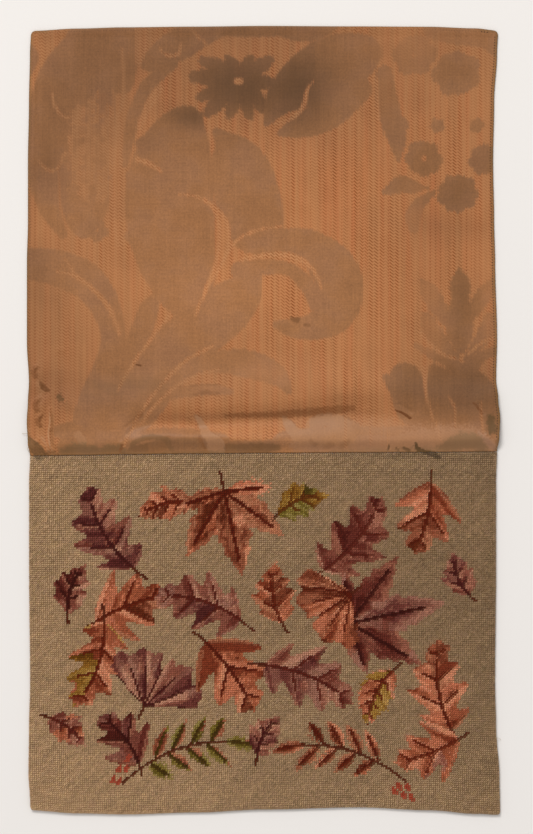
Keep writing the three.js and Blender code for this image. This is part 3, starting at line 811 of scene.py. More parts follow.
# Each leaf: kind, middle, length, the way its tip points in degrees, its bend, and its main and second yarn
LEAVES = (
    ("oak", -140, 66, 84, 118, 0.10, "plum", "rose"),
    ("beech", -88, 46, 50, 196, -0.10, "coral", "rust"),
    ("chestnut", -28, 66, 88, 282, 0.0, "rust", "coral"),
    ("birch", 34, 42, 48, 20, 0.12, "gold", "olive"),
    ("oak", 82, 72, 84, 52, -0.08, "rose", "maroon"),
    ("hawthorn", 142, 58, 66, 256, 0.06, "rust", "coral"),
    ("birch", 172, 106, 42, 110, 0.1, "plum", "rose"),
    ("birch", -168, 118, 46, 70, 0.1, "maroon", "rose"),
    ("hawthorn", -116, 134, 70, 20, 0.05, "coral", "rust"),
    ("oak", -58, 132, 80, 165, -0.1, "rose", "plum"),
    ("birch", 10, 122, 56, 96, 0.1, "coral", "rust"),
    ("chestnut", 112, 142, 96, 12, 0.0, "maroon", "plum"),
    ("fan", 56, 138, 52, 215, 0.0, "rust", "coral"),
    ("oak", -150, 188, 80, 250, 0.1, "coral", "gold"),
    ("fan", -94, 198, 56, 65, 0.0, "plum", "rose"),
    ("hawthorn", -28, 196, 76, 305, 0.05, "rust", "coral"),
    ("oak", 42, 200, 86, 336, 0.08, "rose", "plum"),
    ("beech", 100, 214, 54, 245, -0.1, "coral", "gold"),
    ("oak", 156, 204, 80, 98, 0.08, "rust", "coral"),
    ("birch", -172, 244, 42, 320, 0.1, "rose", "coral"),
    ("hawthorn", -126, 250, 56, 130, -0.1, "maroon", "plum"),
    ("rowan", -60, 262, 116, 12, 0.12, "olive", "rust"),
    ("rowan", 62, 264, 112, 170, -0.12, "rust", "coral"),
    ("hawthorn", 144, 264, 60, 200, 0.05, "coral", "rose"),
    ("birch", 2, 248, 42, 60, 0.1, "plum", "rose"),
)

# Where the stem of a compound leaf ends, as a share of its length, and the berries beside a sprig's foot
STEM_ENDS = {"chestnut": 0.14, "rowan": 0.8}
BERRIES = ((-0.05, 0.07), (-0.12, 0.03), (-0.02, 0.13), (-0.1, 0.11), (-0.16, 0.08))

# Degrees between the ribs of a fan leaf, and degrees in a radian
FAN_GORE = 22.0
RADIAN = 57.3

# How much lighter the yarn is than the worked cloth looks, because of the shade between the stitches
YARN_GAIN = 1.47

# A wool stitch: its pitch, its half sizes, how far its middle lies under the cloth's surface, and the bare
# margin at the end of each walk over the cloth
STITCH = {"pitch": 1.814, "half_long": 1.36, "half_wide": 0.7, "high": 0.5, "bed": 0.5, "margin": 0.5}
# How unlike the stitches are: in place, in turn (degrees), and as shares of their half sizes
JITTER = {"place": 0.1, "turn": 7.0, "half_long": 0.07, "half_wide": 0.1, "high": 0.12}
STITCH_BANDS = 4


def leaf_shape(kind, along, across, size):
    """A simple leaf in its own directions: depth inside it, where veins run, the lobe and the way over it.

    The half width is a sine over the length, drawn in between the side veins, which lean towards the tip.
    A lobe lies between two side veins. The way over it goes from 0 at its lower vein to 1 at its upper one.
    """
    form = LEAF_KINDS[kind]
    beside = np.abs(across)
    wave = (along - form["slant"] * beside) * form["veins"]
    swell = np.sin(math.pi * np.clip(along, 0.0, 1.0) ** 0.8) ** form["tip"]
    half = form["half"] * swell * (1.0 - form["depth"] * (0.5 - 0.5 * np.cos(2 * math.pi * wave)))
    inside = np.where((along > 0.0) & (along < 1.0), half - beside, -1.0)
    line = STITCH["pitch"] / size
    rib = (beside < 0.86 * line) & (along > 0.0) & (along < 0.8)
    off_vein = np.abs(wave - np.round(wave)) / form["veins"] / math.hypot(1.0, form["slant"])
    side = (off_vein < 0.6 * line) & (beside < form["run"] * form["half"] * swell) & (np.round(wave) > 0)
    vein = rib | stalk(along, across, line, -0.18, 0.0) | side
    return inside, vein, np.floor(wave) + 16 * (across > 0), wave - np.floor(wave)


def stalk(along, across, line, start, end):
    """Where a leaf's stalk runs: a line's width on both sides of the rib, from a start to an end."""
    return (np.abs(across) < 0.7 * line) & (along > start) & (along <= end)


def leaf_places(x, below, leaf):
    """A stitch's place on a leaf: along its rib, from 0 at its foot to 1 at its tip, and across the rib."""
    _, leaf_x, leaf_below, size, turn, bend, _, _ = leaf
    along, across = turned(x, -below, leaf_x, -leaf_below, turn)
    along = along / size + 0.5
    return along, across / size - bend * (4.0 * along * (1.0 - along) - 0.6)


def leaflets(kind):
    """The leaflets of a compound leaf: where each has its foot, its turn in degrees and its length."""
    if kind == "chestnut":
        fan = ((0, 0.88), (42, 0.76), (-42, 0.76), (84, 0.5), (-84, 0.5))
        return [((0.12, 0.0), turn, long) for turn, long in fan]
    pairs = [((0.74, 0.0), 0, 0.26)]
    for k in range(4):
        pairs += [((0.18 + 0.15 * k, 0.01), 52, 0.24), ((0.14 + 0.15 * k, -0.01), -52, 0.24)]
    return pairs


def compound_leaf(kind, along, across, size):
    """A leaf of several leaflets, each turned about its foot: the deepest one wins, with its veins."""
    inside = np.full(along.shape, -1.0)
    vein = np.zeros(along.shape, bool)
    lobe, way = 0.0 * along, 0.0 * along
    for number, (foot, turn, length) in enumerate(leaflets(kind)):
        own_along, own_across = turned(along, across, foot[0], foot[1], turn)
        one, rib, _, _ = leaf_shape("leaflet", own_along / length, own_across / length, size * length)
        one = one * length
        wins = one > inside
        inside, vein = np.where(wins, one, inside), np.where(wins, rib & (own_along > 0), vein)
        lobe = np.where(wins, 2 * number + (own_across > 0), lobe)
        way = np.where(wins, 1.0 - one / (0.2 * length), way)
    return inside, vein | stalk(along, across, STITCH["pitch"] / size, -0.1, STEM_ENDS[kind]), lobe, way


def fan_leaf(along, across, size):
    """A fan: a sector round its foot with a wavy rim, a split in the middle, and ribs that spread out."""
    reach = np.hypot(along, across)
    angle = np.degrees(np.arctan2(across, along))
    rim = 0.9 + 0.05 * np.cos(np.radians(angle) * 14) - 0.3 * bell(angle, 4.0)
    inside = np.minimum(rim - reach, (66.0 - np.abs(angle)) / RADIAN * reach)
    line = STITCH["pitch"] / size
    gore = angle / FAN_GORE
    spread = np.abs(gore - np.round(gore)) * FAN_GORE / RADIAN * reach
    ribs = (spread < 0.5 * line) & (reach < 0.66) & (inside > 0)
    vein = ribs | stalk(along, across, line, -0.22, 0.05)
    return inside, vein, np.floor(gore) + 8.0, gore - np.floor(gore)


def draw_leaf(leaf, x, below, colours, rng):
    """Works one leaf into the stitch colours: each lobe has its yarn, in four tones from its lower vein up.

    Strokes run along the lobes, between the tones and out over the border.
    """
    kind, leaf_x, _, size, _, _, main, second = leaf
    along, across = leaf_places(x, below, leaf)
    line = STITCH["pitch"] / size
    if kind in STEM_ENDS:
        inside, vein, lobe, way = compound_leaf(kind, along, across, size)
    elif kind == "fan":
        inside, vein, lobe, way = fan_leaf(along, across, size)
    else:
        inside, vein, lobe, way = leaf_shape(kind, along, across, size)
    seed = int(size * 10 + abs(leaf_x))
    strokes = soft_noise(5.0 * (lobe + way), 3.0 * np.hypot(along, across), 1.0, seed + 1)
    covered = inside + line * (0.3 * rng.uniform(-1.0, 1.0, len(x)) + 1.1 * strokes) > 0.0
    patch = soft_noise(x, below, 12.0, seed)
    draw = np.random.default_rng(seed).uniform(0.0, 1.0, (2, 64))[:, lobe.astype(int) % 64]
    tone = 0.1 + 0.44 * way + 0.36 * draw[0] + 0.2 * patch + 0.3 * strokes
    tone = tone + 0.07 * rng.uniform(-1.0, 1.0, len(x))
    step = np.clip(np.floor(tone * 4.0), 0, 3).astype(int)
    yarn, accent = (np.array([linear(*shade) for shade in YARNS[name]])[step] for name in (main, second))
    shaded = np.where((draw[1] + 0.4 * patch > 0.66)[:, None], accent, yarn)
    colours[covered] = shaded[covered]
    colours[vein & (inside > 0.0)] = linear(*YARNS[main][-1])
    colours[vein & (inside <= 0.0)] = linear(*STALK_YARN)
    if kind == "rowan":
        for berry_along, berry_across in BERRIES:
            berry = np.hypot(along - berry_along, across - berry_across) < 1.7 * line
            colours[berry] = linear(*BERRY_YARN)


def leaf_colours(x, below, column, row, ground):
    """The yarn of every stitch: the ground with its dye lots, lighter to the left, then each leaf worked
    over it.
    """
    rng = np.random.default_rng(SEED)
    lot = soft_noise((column + row) / 2.0, (column - row) / 26.0, 1.0, SEED + 3)
    band = soft_noise(column / 30.0, row * 1.0, 1.6, SEED + 4)
    # The ground is lighter to the left and towards the near edge, darker to the right
    down = (below - 160.0) / 160.0
    fade = 1.15 - 0.25 * x / 200.0 + 0.1 * down**2 + 0.08 * down
    fade = fade + 0.05 * soft_noise(x, below, 60.0, SEED + 5)
    colours = ground[None] * (fade * (1.0 + 0.1 * lot + 0.06 * band))[:, None]
    for leaf in LEAVES:
        draw_leaf(leaf, x, below, colours, rng)
    single = rng.normal(0.0, 1.0, (3, len(x)))
    colours = colours * (1.0 + 0.1 * single[0])[:, None]
    colours[:, 1] *= 1.0 + 0.015 * single[1]
    colours[:, 2] *= 1.0 + 0.03 * single[2]
    # The silk's dark marks that reach over the seam darken the wool too: stains, and painted shade of the
    # corner fold and the seam
    depth, strength, _ = marks(DARKS, x, -below)
    colours = colours * (1.0 - 0.6 * strength * ease(depth + 0.5))[:, None]
    return np.clip(YARN_GAIN * colours, 0.0, 0.95)


def rim_walk(cloth, full):
    """The walk up a rim: the upright part of its height, the rest of it, and the length of its curve."""
    wall = RIM_WALL * full
    rise = full - wall
    return wall, rise, math.pi / 2 * math.sqrt((cloth["rim"] ** 2 + rise**2) / 2)


def skin_profile(cloth, q, full, sunk):
    """A walk up the edge of a thick cloth: an upright wall, a quarter of an ellipse, then the flat top.

    q is the way gone from the underside. It gives how far in from the edge that is, and how high, for a skin
    sunk a little into the cloth: inwards on the wall, down on the top, and between on the curve.
    """
    wall, rise, curve = rim_walk(cloth, full)
    turn = np.clip((q - wall) / curve, 0.0, 1.0) * math.pi / 2
    inset = (cloth["rim"] - sunk) * (1.0 - np.cos(turn)) + np.maximum(q - wall - curve, 0.0) + sunk
    return inset, np.minimum(q, wall) + (rise - sunk) * np.sin(turn)


def corner_rounded(inset_x, inset_y, radius):
    """Draws the corner of a square net in to a quarter circle: both insets grow where both are small."""
    p = np.clip(1.0 - inset_x / radius, 0.0, 1.0)
    q = np.clip(1.0 - inset_y / radius, 0.0, 1.0)
    return p * radius * (1.0 - np.sqrt(1.0 - q * q / 2)), q * radius * (1.0 - np.sqrt(1.0 - p * p / 2))


def wool_walks():
    """The whole walks over the needlework's skin, from left to right and from the seam to the near edge."""
    wall, _, curve = rim_walk(WOOL, WOOL["hem_thick"])
    extra = wall + curve - WOOL["rim"]
    return width_at(-WOOL_LENGTH / 2) + 2 * extra, WOOL_LENGTH + 2 * extra


def wool_skin(s, t, sunk):
    """A point of the needlework's skin, at the walks s from the left edge and t from the seam edge.

    The walks go over the rims, and the sides follow the outline's tables. Sunk is how far under the finished
    surface the point lies.
    """
    full, hem = WOOL["hem_thick"], WOOL["hem_wide"]
    mid_width = width_at(-WOOL_LENGTH / 2)
    walk_x, walk_y = wool_walks()
    inset_x, high_x = skin_profile(WOOL, np.minimum(s, walk_x - s), full, sunk)
    inset_y, high_y = skin_profile(WOOL, np.minimum(t, walk_y - t), full, sunk)
    round_x, round_y = corner_rounded(inset_x, inset_y, np.where(t > walk_y / 2, CORNER_ROUND, SEAM_ROUND))
    inset_x, inset_y = inset_x + round_x, inset_y + round_y
    across = np.where(s < walk_x / 2, inset_x, mid_width - inset_x) / mid_width
    down = np.where(t < walk_y / 2, inset_y, WOOL_LENGTH - inset_y) / WOOL_LENGTH
    start = look_up(SHORT_EDGES, "across", "seam", across) - SEAM_GAP / 2
    near = WOOL_LENGTH + look_up(SHORT_EDGES, "across", "near", across)
    x = x_at(across, -down * WOOL_LENGTH)
    y = start - (near + start) * down
    plain = (full - WOOL["thick"]) * ease((np.minimum(inset_x, inset_y) - hem) / (hem / 2))
    uneven = 0.12 * (np.sin(x / 31 + 1.3) + np.sin(y / 44 + x / 90)) * ease(inset_x / hem)
    return np.stack([x, y, np.minimum(high_x, high_y) - plain + uneven], axis=-1)


def moved(points):
    """Places measured from the middle line and the seam, moved to the frame of the solids."""
    return points + np.array([SHIFT_X, SHIFT_Y, 0.0])


# Materials


class Wire:
    """An output of a shader node. Arithmetic on it adds Math nodes, also with a plain number on the left."""

    def __init__(self, finish, socket):
        self.finish = finish
        self.socket = socket

    def math(self, operation, *others):
        """A Math node with this wire first and the others after it."""
        return self.finish.maths(operation, self, *others)

    def __add__(self, other):
        return self.math("ADD", other)

    __radd__ = __add__

    def __sub__(self, other):
        return self.math("SUBTRACT", other)

    def __rsub__(self, other):
        return self.finish.maths("SUBTRACT", other, self)

    def __mul__(self, other):
        return self.math("MULTIPLY", other)

    __rmul__ = __mul__

    def __truediv__(self, other):
        return self.math("DIVIDE", other)

    def floor(self):
        """The whole number below."""
        return self.math("FLOOR")

    def fraction(self):
        """What is left above the whole number."""
        return self.math("FRACT")

    def off_middle(self):
        """How far a share lies from a half: 0 there, and 1 at 0 and at 1."""
        return (self - 0.5).math("ABSOLUTE") * 2.0

    def above(self, edge):
        """By how much it is more than an edge, or nothing."""
        return (self - edge).math("MAXIMUM", 0.0)

    def step(self, low, high):
        """A smooth step from 0 at one value to 1 at another."""
        inputs = {"Value": self, "From Min": low, "From Max": high}
        return self.finish.node("ShaderNodeMapRange", {"interpolation_type": "SMOOTHSTEP"}, inputs)


class Finish:
    """One material: its nodes are made by one method, and its Principled shader is filled in at the end."""

    def __init__(self, name):
        self.material = bpy.data.materials.new(name)
        self.material.use_nodes = True
        self.nodes = self.material.node_tree.nodes
        self.links = self.material.node_tree.links
        self.shader = self.nodes["Principled BSDF"]

    def node(self, kind, settings=None, inputs=None, output=0):
        """A node of that kind: its settings first, then the values or wires of its sockets."""
        made = self.nodes.new(kind)
        for name, value in (settings or {}).items():
            setattr(made, name, value)
        self.fill(made, inputs or {})
        return Wire(self, made.outputs[output])

    def fill(self, node, inputs):
        """Sets or links a node's sockets, given by name or number; a plain colour gets a full alpha."""
        for name, value in inputs.items():
            socket = node.inputs[name]
            if isinstance(value, Wire):
                self.links.new(value.socket, socket)
            else:
                socket.default_value = (*value, 1.0) if socket.type == "RGBA" else value

    def maths(self, operation, *values):
        """A Math node with its values or wires in order."""
        return self.node("ShaderNodeMath", {"operation": operation}, dict(enumerate(values)))

    def place(self):
        """The place on the piece along X and Y, in millimetres."""
        place = self.node("ShaderNodeTexCoord", output="Object")
        outputs = self.node("ShaderNodeSeparateXYZ", None, {0: place}).socket.node.outputs
        return [Wire(self, outputs[axis]) / MM for axis in "XY"]

    def kept(self, layer, output="Fac"):
        """A number, or with output Color a colour, kept on the mesh's points."""
        return self.node("ShaderNodeAttribute", {"attribute_name": layer}, None, output)

    def noise(self, x, y, scale=1.0, detail=2.0):
        """Smooth noise from 0 to 1 over two numbers."""
        inputs = {"Vector": self.node("ShaderNodeCombineXYZ", None, {"X": x, "Y": y})}
        return self.node("ShaderNodeTexNoise", None, {**inputs, "Scale": scale, "Detail": detail}, "Fac")

    def random(self, value):
        """A fixed random number from 0 to 1 for each value."""
        return self.node("ShaderNodeTexWhiteNoise", {"noise_dimensions": "1D"}, {"W": value}, "Value")

    def blend(self, first, second, share):
        """From one colour to another."""
        return self.node("ShaderNodeMix", {"data_type": "RGBA"}, {0: share, 6: first, 7: second}, 2)

    def scaled(self, colour, amount):
        """A colour made lighter or darker by a number."""
        return self.node("ShaderNodeVectorMath", {"operation": "SCALE"}, {0: colour, "Scale": amount})

    def bump(self, height, distance, strength=1.0):
        """A surface direction from a height in shares of a distance in millimetres."""
        inputs = {"Height": height, "Distance": distance * MM, "Strength": strength}
        return self.node("ShaderNodeBump", None, inputs)

    def finished(self, **inputs):
        """Fills in the shader; an input is given by its name, with underscores for spaces."""
        self.fill(self.shader, {name.replace("_", " "): value for name, value in inputs.items()})
        return self.material


# The silk's ground: width of a column of floats, height of a float, where in the column the floats turn, and
# how far they rise before that and fall after it, in their heights
RIBS = {"wide": 4.59, "high": 2.79, "turn": 0.3, "rise": 0.46, "fall": 1.0}


def silk_finish(colours):
    """Damask: a ground of short slanting floats in upright columns, and a smooth satin figure over it."""
    finish = Finish("silk_damask")
    noise, kept, blend, scaled = finish.noise, finish.kept, finish.blend, finish.scaled
    x, y = finish.place()
    column = x / RIBS["wide"]
    number, inside = column.floor(), column.fraction()
    second, third, fourth = (finish.random(number + shift) for shift in (57.0, 119.0, 173.0))
    streak = noise(x * 0.16, y * 0.008)
    warp = noise(x * 1.6, y * 0.016, detail=3.0)
    weft = noise(x * 0.02, y * 1.1)
    cloud = noise(x, y, 0.03, 4.0)
    blotch = noise(x, y, 0.09, 3.0)
    mottle = noise(x * 0.55, y * 0.5, detail=3.0)
    grain = noise(x, y, 1.3)

    # Over a column the floats rise a little and then fall, and the next column starts where they end
    turn = RIBS["turn"] + 0.2 * (fourth - 0.5)
    rise = (inside / turn).math("MINIMUM", 1.0) * RIBS["rise"]
    fall = (inside - turn) / (1.0 - turn)
    fall = fall.above(0.0) * RIBS["fall"]
    drift = noise(x * 0.05, y * 0.03, detail=1.0) * 0.9
    beat = y / RIBS["high"] + number * (RIBS["fall"] - RIBS["rise"]) + fall - rise + drift + 0.3 * mottle
    dash = beat.fraction().off_middle().step(0.24, 0.95)
    join = inside.off_middle().step(0.5, 1.0)
    patchy = noise(x, y * 0.5, 0.02).step(0.35, 0.65)
    depth = (0.5 + 0.26 * second + 1.0 * (streak - 0.45)) * (0.6 + 0.7 * warp) * (0.66 + 0.44 * patchy)
    at_join = third.step(0.5, 0.8)
    falling = (inside - turn).step(-0.12, 0.12) * (1.0 - inside.step(0.8, 1.0))
    stretch = join * at_join + falling * (1.0 - at_join)
    dark = dash * depth * (0.5 + 0.78 * stretch) * (0.64 + 0.7 * grain) + join * 0.06

    # The figure's border follows the warp threads, and the floats beside it are paler
    comb = (finish.random((x / 0.55).floor()) - 0.5) * 2.0
    field = kept("satin") + comb + (weft - 0.5) * 1.4 + (mottle - 0.5) * 2.0
    satin = field.step(-1.3, 1.3) * (1.0 - kept("faint"))
    beside = (1.0 - (field * -1.0).step(0.8, 3.4)) * 0.3 * patchy + kept("opening")
    wear = kept("wear")
    ground = blend(colours.silk_ground, colours.silk_red, streak.above(0.42) * 2.4)
    ground = blend(ground, colours.silk_border, beside * (0.34 - 0.3 * dash))
    ground = blend(ground, colours.silk_rubbed, wear)
    ground = blend(ground, colours.silk_floats, dark * (1.0 - 0.45 * wear))
    ground = scaled(ground, 0.93 + 0.26 * (streak - 0.4))
    figure = blend(colours.silk_satin, colours.silk_dull, cloud.step(0.4, 0.66))
    figure = scaled(figure, 0.2 + 0.16 * warp + 0.14 * weft + 0.6 * mottle + 0.5 * grain + 0.26 * blotch)
    # Painted shade: the figure is darker where its sheen is lower
    figure = blend(figure, colours.silk_satin_shade, kept("deep"))
    cloth = blend(ground, figure, satin)
    slow = noise(x * 0.35, y * 0.02)
    uneven = (warp - 0.5) * 0.12 + (cloud - 0.5) * 0.36 + (weft - 0.5) * 0.08 + (slow - 0.5) * 0.16
    # The tone layer: uneven colour, with painted sheen, painted shade in the roll's trough and painted light
    # by the seam
    cloth = scaled(cloth, 1.0 + kept("tone") + uneven)
    cloth = blend(cloth, colours.mark_brown, cloud.above(0.52) * 0.9)

    # Marks: faded silk and painted highlights first, then the dark stains and painted shade, and the dark
    # turned edges, worn and in painted shade, over it
    edge_noise = (mottle - 0.5) * 1.6 + (noise(x, y, 0.28, 3.0) - 0.5) * 1.6
    # Faded silk, with painted highlights and painted light beside the seam
    pale = (kept("pale") + edge_noise).step(-0.5, 0.5) * kept("pale_strength")
    faded_and_lit = blend(colours.silk_faded_and_lit, colours.silk_pink_faded_and_lit, kept("pale_tint"))
    faded_and_lit = scaled(faded_and_lit, 0.86 + 0.14 * warp + 0.14 * mottle)
    cloth = blend(cloth, faded_and_lit, pale * (1.0 - 0.3 * dash * (1.0 - satin)))
    # The dark marks: stains, and painted shade in the trough, the creases, the folds and beside the seam
    stain_and_shade_colour = blend(colours.mark_brown, colours.mark_green, kept("dark_tint"))
    stain_and_shade = (kept("dark") + edge_noise).step(-0.5, 0.5) * kept("dark_strength")
    cloth = blend(cloth, stain_and_shade_colour, stain_and_shade * (0.75 + 0.5 * mottle))
    sewn = ((x + y) / 3.1).fraction().step(0.2, 0.6)
    # Dark turned edges and seam line: wear, and painted shade where the cloth rolls down
    cloth = blend(cloth, colours.silk_edge_wear_and_shade, kept("edge_wear_and_shade") * (0.55 + 0.6 * sewn))
    relief = (1.0 - dash) * (1.0 - satin) * 0.6 + satin * 0.45 + warp * 0.3 + weft * 0.14
    return finish.finished(
        Base_Color=cloth,
        Roughness=0.6 - 0.12 * satin + 0.1 * stain_and_shade,
        Normal=finish.bump(relief, 0.14, 0.7),
        Specular_IOR_Level=0.25,
        Sheen_Weight=0.04,
        Sheen_Roughness=0.4,
    )


def wool_finish():
    """Worsted yarn: the colour of each stitch with fine fibres that run along it, and painted shade down its
    sides.
    """
    finish = Finish("wool_yarn")
    x, y = finish.place()
    fibre = finish.noise((x + y) * 0.5, (x - y) * 5.0, detail=3.0)
    fuzz = finish.noise(x, y, 2.6, 3.0)
    # Painted shade: each stitch is darker down its sides than at its crest
    shade = (0.8 + 0.34 * fibre + 0.1 * fuzz) * (0.62 + 0.38 * finish.kept("depth"))
    return finish.finished(
        Base_Color=finish.scaled(finish.kept("yarn", "Color"), shade),
        Roughness=0.95,
        Normal=finish.bump(fibre * 0.7 + fuzz * 0.5, 0.12, 0.7),
        Specular_IOR_Level=0.08,
    )


def canvas_finish():
    """The canvas under the stitches: a square mesh of threads, coloured as painted shade of the yarn over
    it.
    """
    finish = Finish("canvas_mesh")
    x, y = finish.place()
    across, along = ((way / STITCH["pitch"]).fraction().off_middle().step(0.2, 0.9) for way in (x, y))
    threads = across * 0.5 + along * 0.5
    shade = (0.7 + 0.5 * threads) * (0.85 + 0.3 * finish.noise(x, y, 0.05, 4.0))
    return finish.finished(
        Base_Color=finish.scaled(finish.kept("yarn", "Color"), shade),
        Roughness=0.95,
        Normal=finish.bump(threads, 0.3, 0.7),
        Specular_IOR_Level=0.15,
    )


def thread_finish(name, colour):
    """Sewing thread: its colour with a fine twist."""
    finish = Finish(name)
    x, y = finish.place()
    twist = finish.noise(x * 6.0, y * 6.0)
    shade = finish.scaled(colour, 0.8 + 0.4 * twist)
    return finish.finished(Base_Color=shade, Roughness=0.7, Normal=finish.bump(twist, 0.06, 0.6))


def floor_finish(colour):
    """A pale, almost even floor."""
    finish = Finish("pale_floor")
    cloud = finish.noise(*finish.place(), 0.002)
    return finish.finished(Base_Color=finish.scaled(colour, 0.99 + 0.02 * cloud), Roughness=0.9)


# Properties


def shown_colour(name, description, red, green, blue):
    """A colour property whose default is given as a screen shows it, from 0 to 255."""
    default = tuple(float(part) for part in linear(red, green, blue))
    return bpy.props.FloatVectorProperty(
        name=name, description=description, subtype="COLOR", size=3, min=0.0, max=1.0, default=default
    )


def length(name, description, millimetres):
    """A length property whose default is given in millimetres."""
    return bpy.props.FloatProperty(
        name=name, description=description, unit="LENGTH", min=0.0, precision=5, default=millimetres * MM
    )


class NeedleworkSizes(bpy.types.PropertyGroup):
    """Sizes of the stitches and of the studio."""

    stitch_pitch: length("Stitch pitch", "Distance from one wool stitch to the next", STITCH["pitch"])
    hem_stitch_pitch: length("Hem stitch pitch", "Distance between the silk's hem stitches", 2.4)
    seam_stitch_pitch: length("Seam stitch pitch", "Distance between the stitches of the seam", 2.6)
    pixel: length("Size of a picture point", "Real size of one point of the picture at the cloth", 0.883)
    camera_height: length("Camera height", "Height of the camera above the floor", 3000)


class NeedleworkColours(bpy.types.PropertyGroup):
    """Colours of the cloths and threads."""

    silk_ground: shown_colour("Silk ground", "Ribbed ground of the damask", 188, 126, 78)
    silk_red: shown_colour("Silk red streaks", "Redder streaks of the ground", 180, 108, 64)
    silk_floats: shown_colour("Silk floats", "Dark floats in the ground", 126, 64, 12)
    silk_border: shown_colour("Silk border", "Pale floats beside the figure", 202, 150, 104)
    silk_satin: shown_colour("Silk satin", "Satin figure of the damask", 152, 102, 62)
    silk_dull: shown_colour("Dull satin", "Greyer patches of the figure", 150, 103, 68)
    # Painted shade of the satin where its sheen is lower
    silk_satin_shade: shown_colour("Deep satin", "Darkest parts of the figure", 84, 56, 28)
    silk_rubbed: shown_colour("Rubbed ground", "Ground where it is worn dull", 166, 114, 72)
    # Faded silk, also used for painted highlights and for painted light beside the seam
    silk_faded_and_lit: shown_colour("Faded silk", "Pale silk beside the seam", 178, 128, 86)
    silk_pink_faded_and_lit: shown_colour("Pink faded silk", "Pinker silk beside the seam", 168, 124, 95)
    # Wear, and painted shade where the turned edges roll down
    silk_edge_wear_and_shade: shown_colour("Worn silk edge", "Dark thin line at the turned edges", 112, 84, 44)
    # Colours of the stains, also used for the painted shade in the trough, the creases and beside the seam
    mark_brown: shown_colour("Brown mark", "Brown stains", 102, 54, 10)
    mark_green: shown_colour("Green mark", "Greenish stains", 92, 82, 52)
    wool_ground: shown_colour("Wool ground", "Ground of the needlework as it looks", 142, 116, 88)
    # Painted shade between the stitches: the canvas takes this colour, darkened with the yarn over it
    canvas: shown_colour("Canvas", "Canvas between the stitches of the ground", 112, 86, 58)
    hem_thread: shown_colour("Hem thread", "Dark thread of the silk's hem", 88, 54, 26)
    thread: shown_colour("Sewing thread", "Thread of the hems and the seam", 128, 94, 60)
    loose: shown_colour("Loose thread", "Pale thread ends", 190, 176, 150)
    floor: shown_colour("Floor", "Floor under the cloth", 239, 235, 232)


class NeedleworkLight(bpy.types.PropertyGroup):
    """Strength of the studio's light."""

    window: bpy.props.FloatProperty(
        name="Window", description="Power of the large soft light", unit="POWER", default=263.0
    )
    room: bpy.props.FloatProperty(name="Room", description="Strength of the light all round", default=0.6)


# Pieces

# Rows of points that follow a rim, as distances from the edge
SILK_RIM = np.array([0.0, 0.15, 0.5, 1.2])
CANVAS_RIM = np.array([0.25, 0.8, 1.65, 2.6, 3.6, 4.6])

# How far the closer rows beside the seam and the closer columns at the left edge reach
CLOSE_ROWS, CLOSE_COLUMNS = 46.0, 42.0

# Beyond this distance from the middle line the silk's turned edge is darker over a wider band, as wear and
# as painted shade where it rolls down
DARK_EDGE_FROM = 190.0

# The hem's stitches: way in from the edge, lift off the silk, half sizes, and the share of those sizes they
# have on the left and at the far edge, and on the right
HEM_STITCH = {
    "inset": 2.6, "lift": 0.02, "half_long": 0.62, "half_wide": 0.46, "high": 0.22,
    "share": 0.5, "right_share": 1.15,
}
# The seam's stitches: height of their middle, how far they lean at most, and half sizes
SEAM_STITCH = {"above_floor": 1.35, "lean": 0.5, "half_long": 0.9, "half_wide": 0.24, "high": 0.3}

# The loose thread ends: their radius, and the path of each
LOOSE_RADIUS = 0.16
LOOSE_ENDS = {
    "left": [(-207.5, 18.5, 1.5), (-209.5, 18.2, 1.7), (-211.6, 18.0, 1.4), (-213.6, 18.2, 0.8)],
    "right": [(204.0, -250.0, 2.4), (206.4, -250.6, 2.2), (208.2, -251.4, 1.4), (209.0, -252.6, 0.5)],
    "seam": [(-206.5, 1.0, 1.6), (-208.0, 2.8, 2.2), (-208.6, 4.6, 1.8), (-208.2, 6.2, 2.4)],
}

# The stage: half size and height of the floor (mm), the large soft light and its place (m), and the colour
# of the light all round
FLOOR_HALF, FLOOR_HIGH = 4000.0, -0.3
WINDOW = {"wide": 3.2, "high": 2.0, "place": (-1.8, 4.4, 4.6), "colour": (1.0, 0.985, 0.96)}
ROOM_COLOUR = (1.0, 0.99, 0.975, 1.0)


def silk_steps():
    """Places of the silk's rows and columns: close at the rims, by the seam and among the left creases."""
    width = width_at(SILK_LENGTH / 2)
    end = SILK_RIM[-1]
    close = np.linspace(0.0, CLOSE_ROWS, 52)
    wide = np.linspace(CLOSE_ROWS, SILK_LENGTH - end, 201)[1:]
    rows = np.concatenate([close, wide, SILK_LENGTH - SILK_RIM[2::-1]])
    close = np.linspace(end, CLOSE_COLUMNS, 57)[1:]
    wide = np.linspace(CLOSE_COLUMNS, width - end, 215)[1:]
    across = np.concatenate([SILK_RIM, close, wide, width - SILK_RIM[2::-1]])
    return rows / SILK_LENGTH, across / width


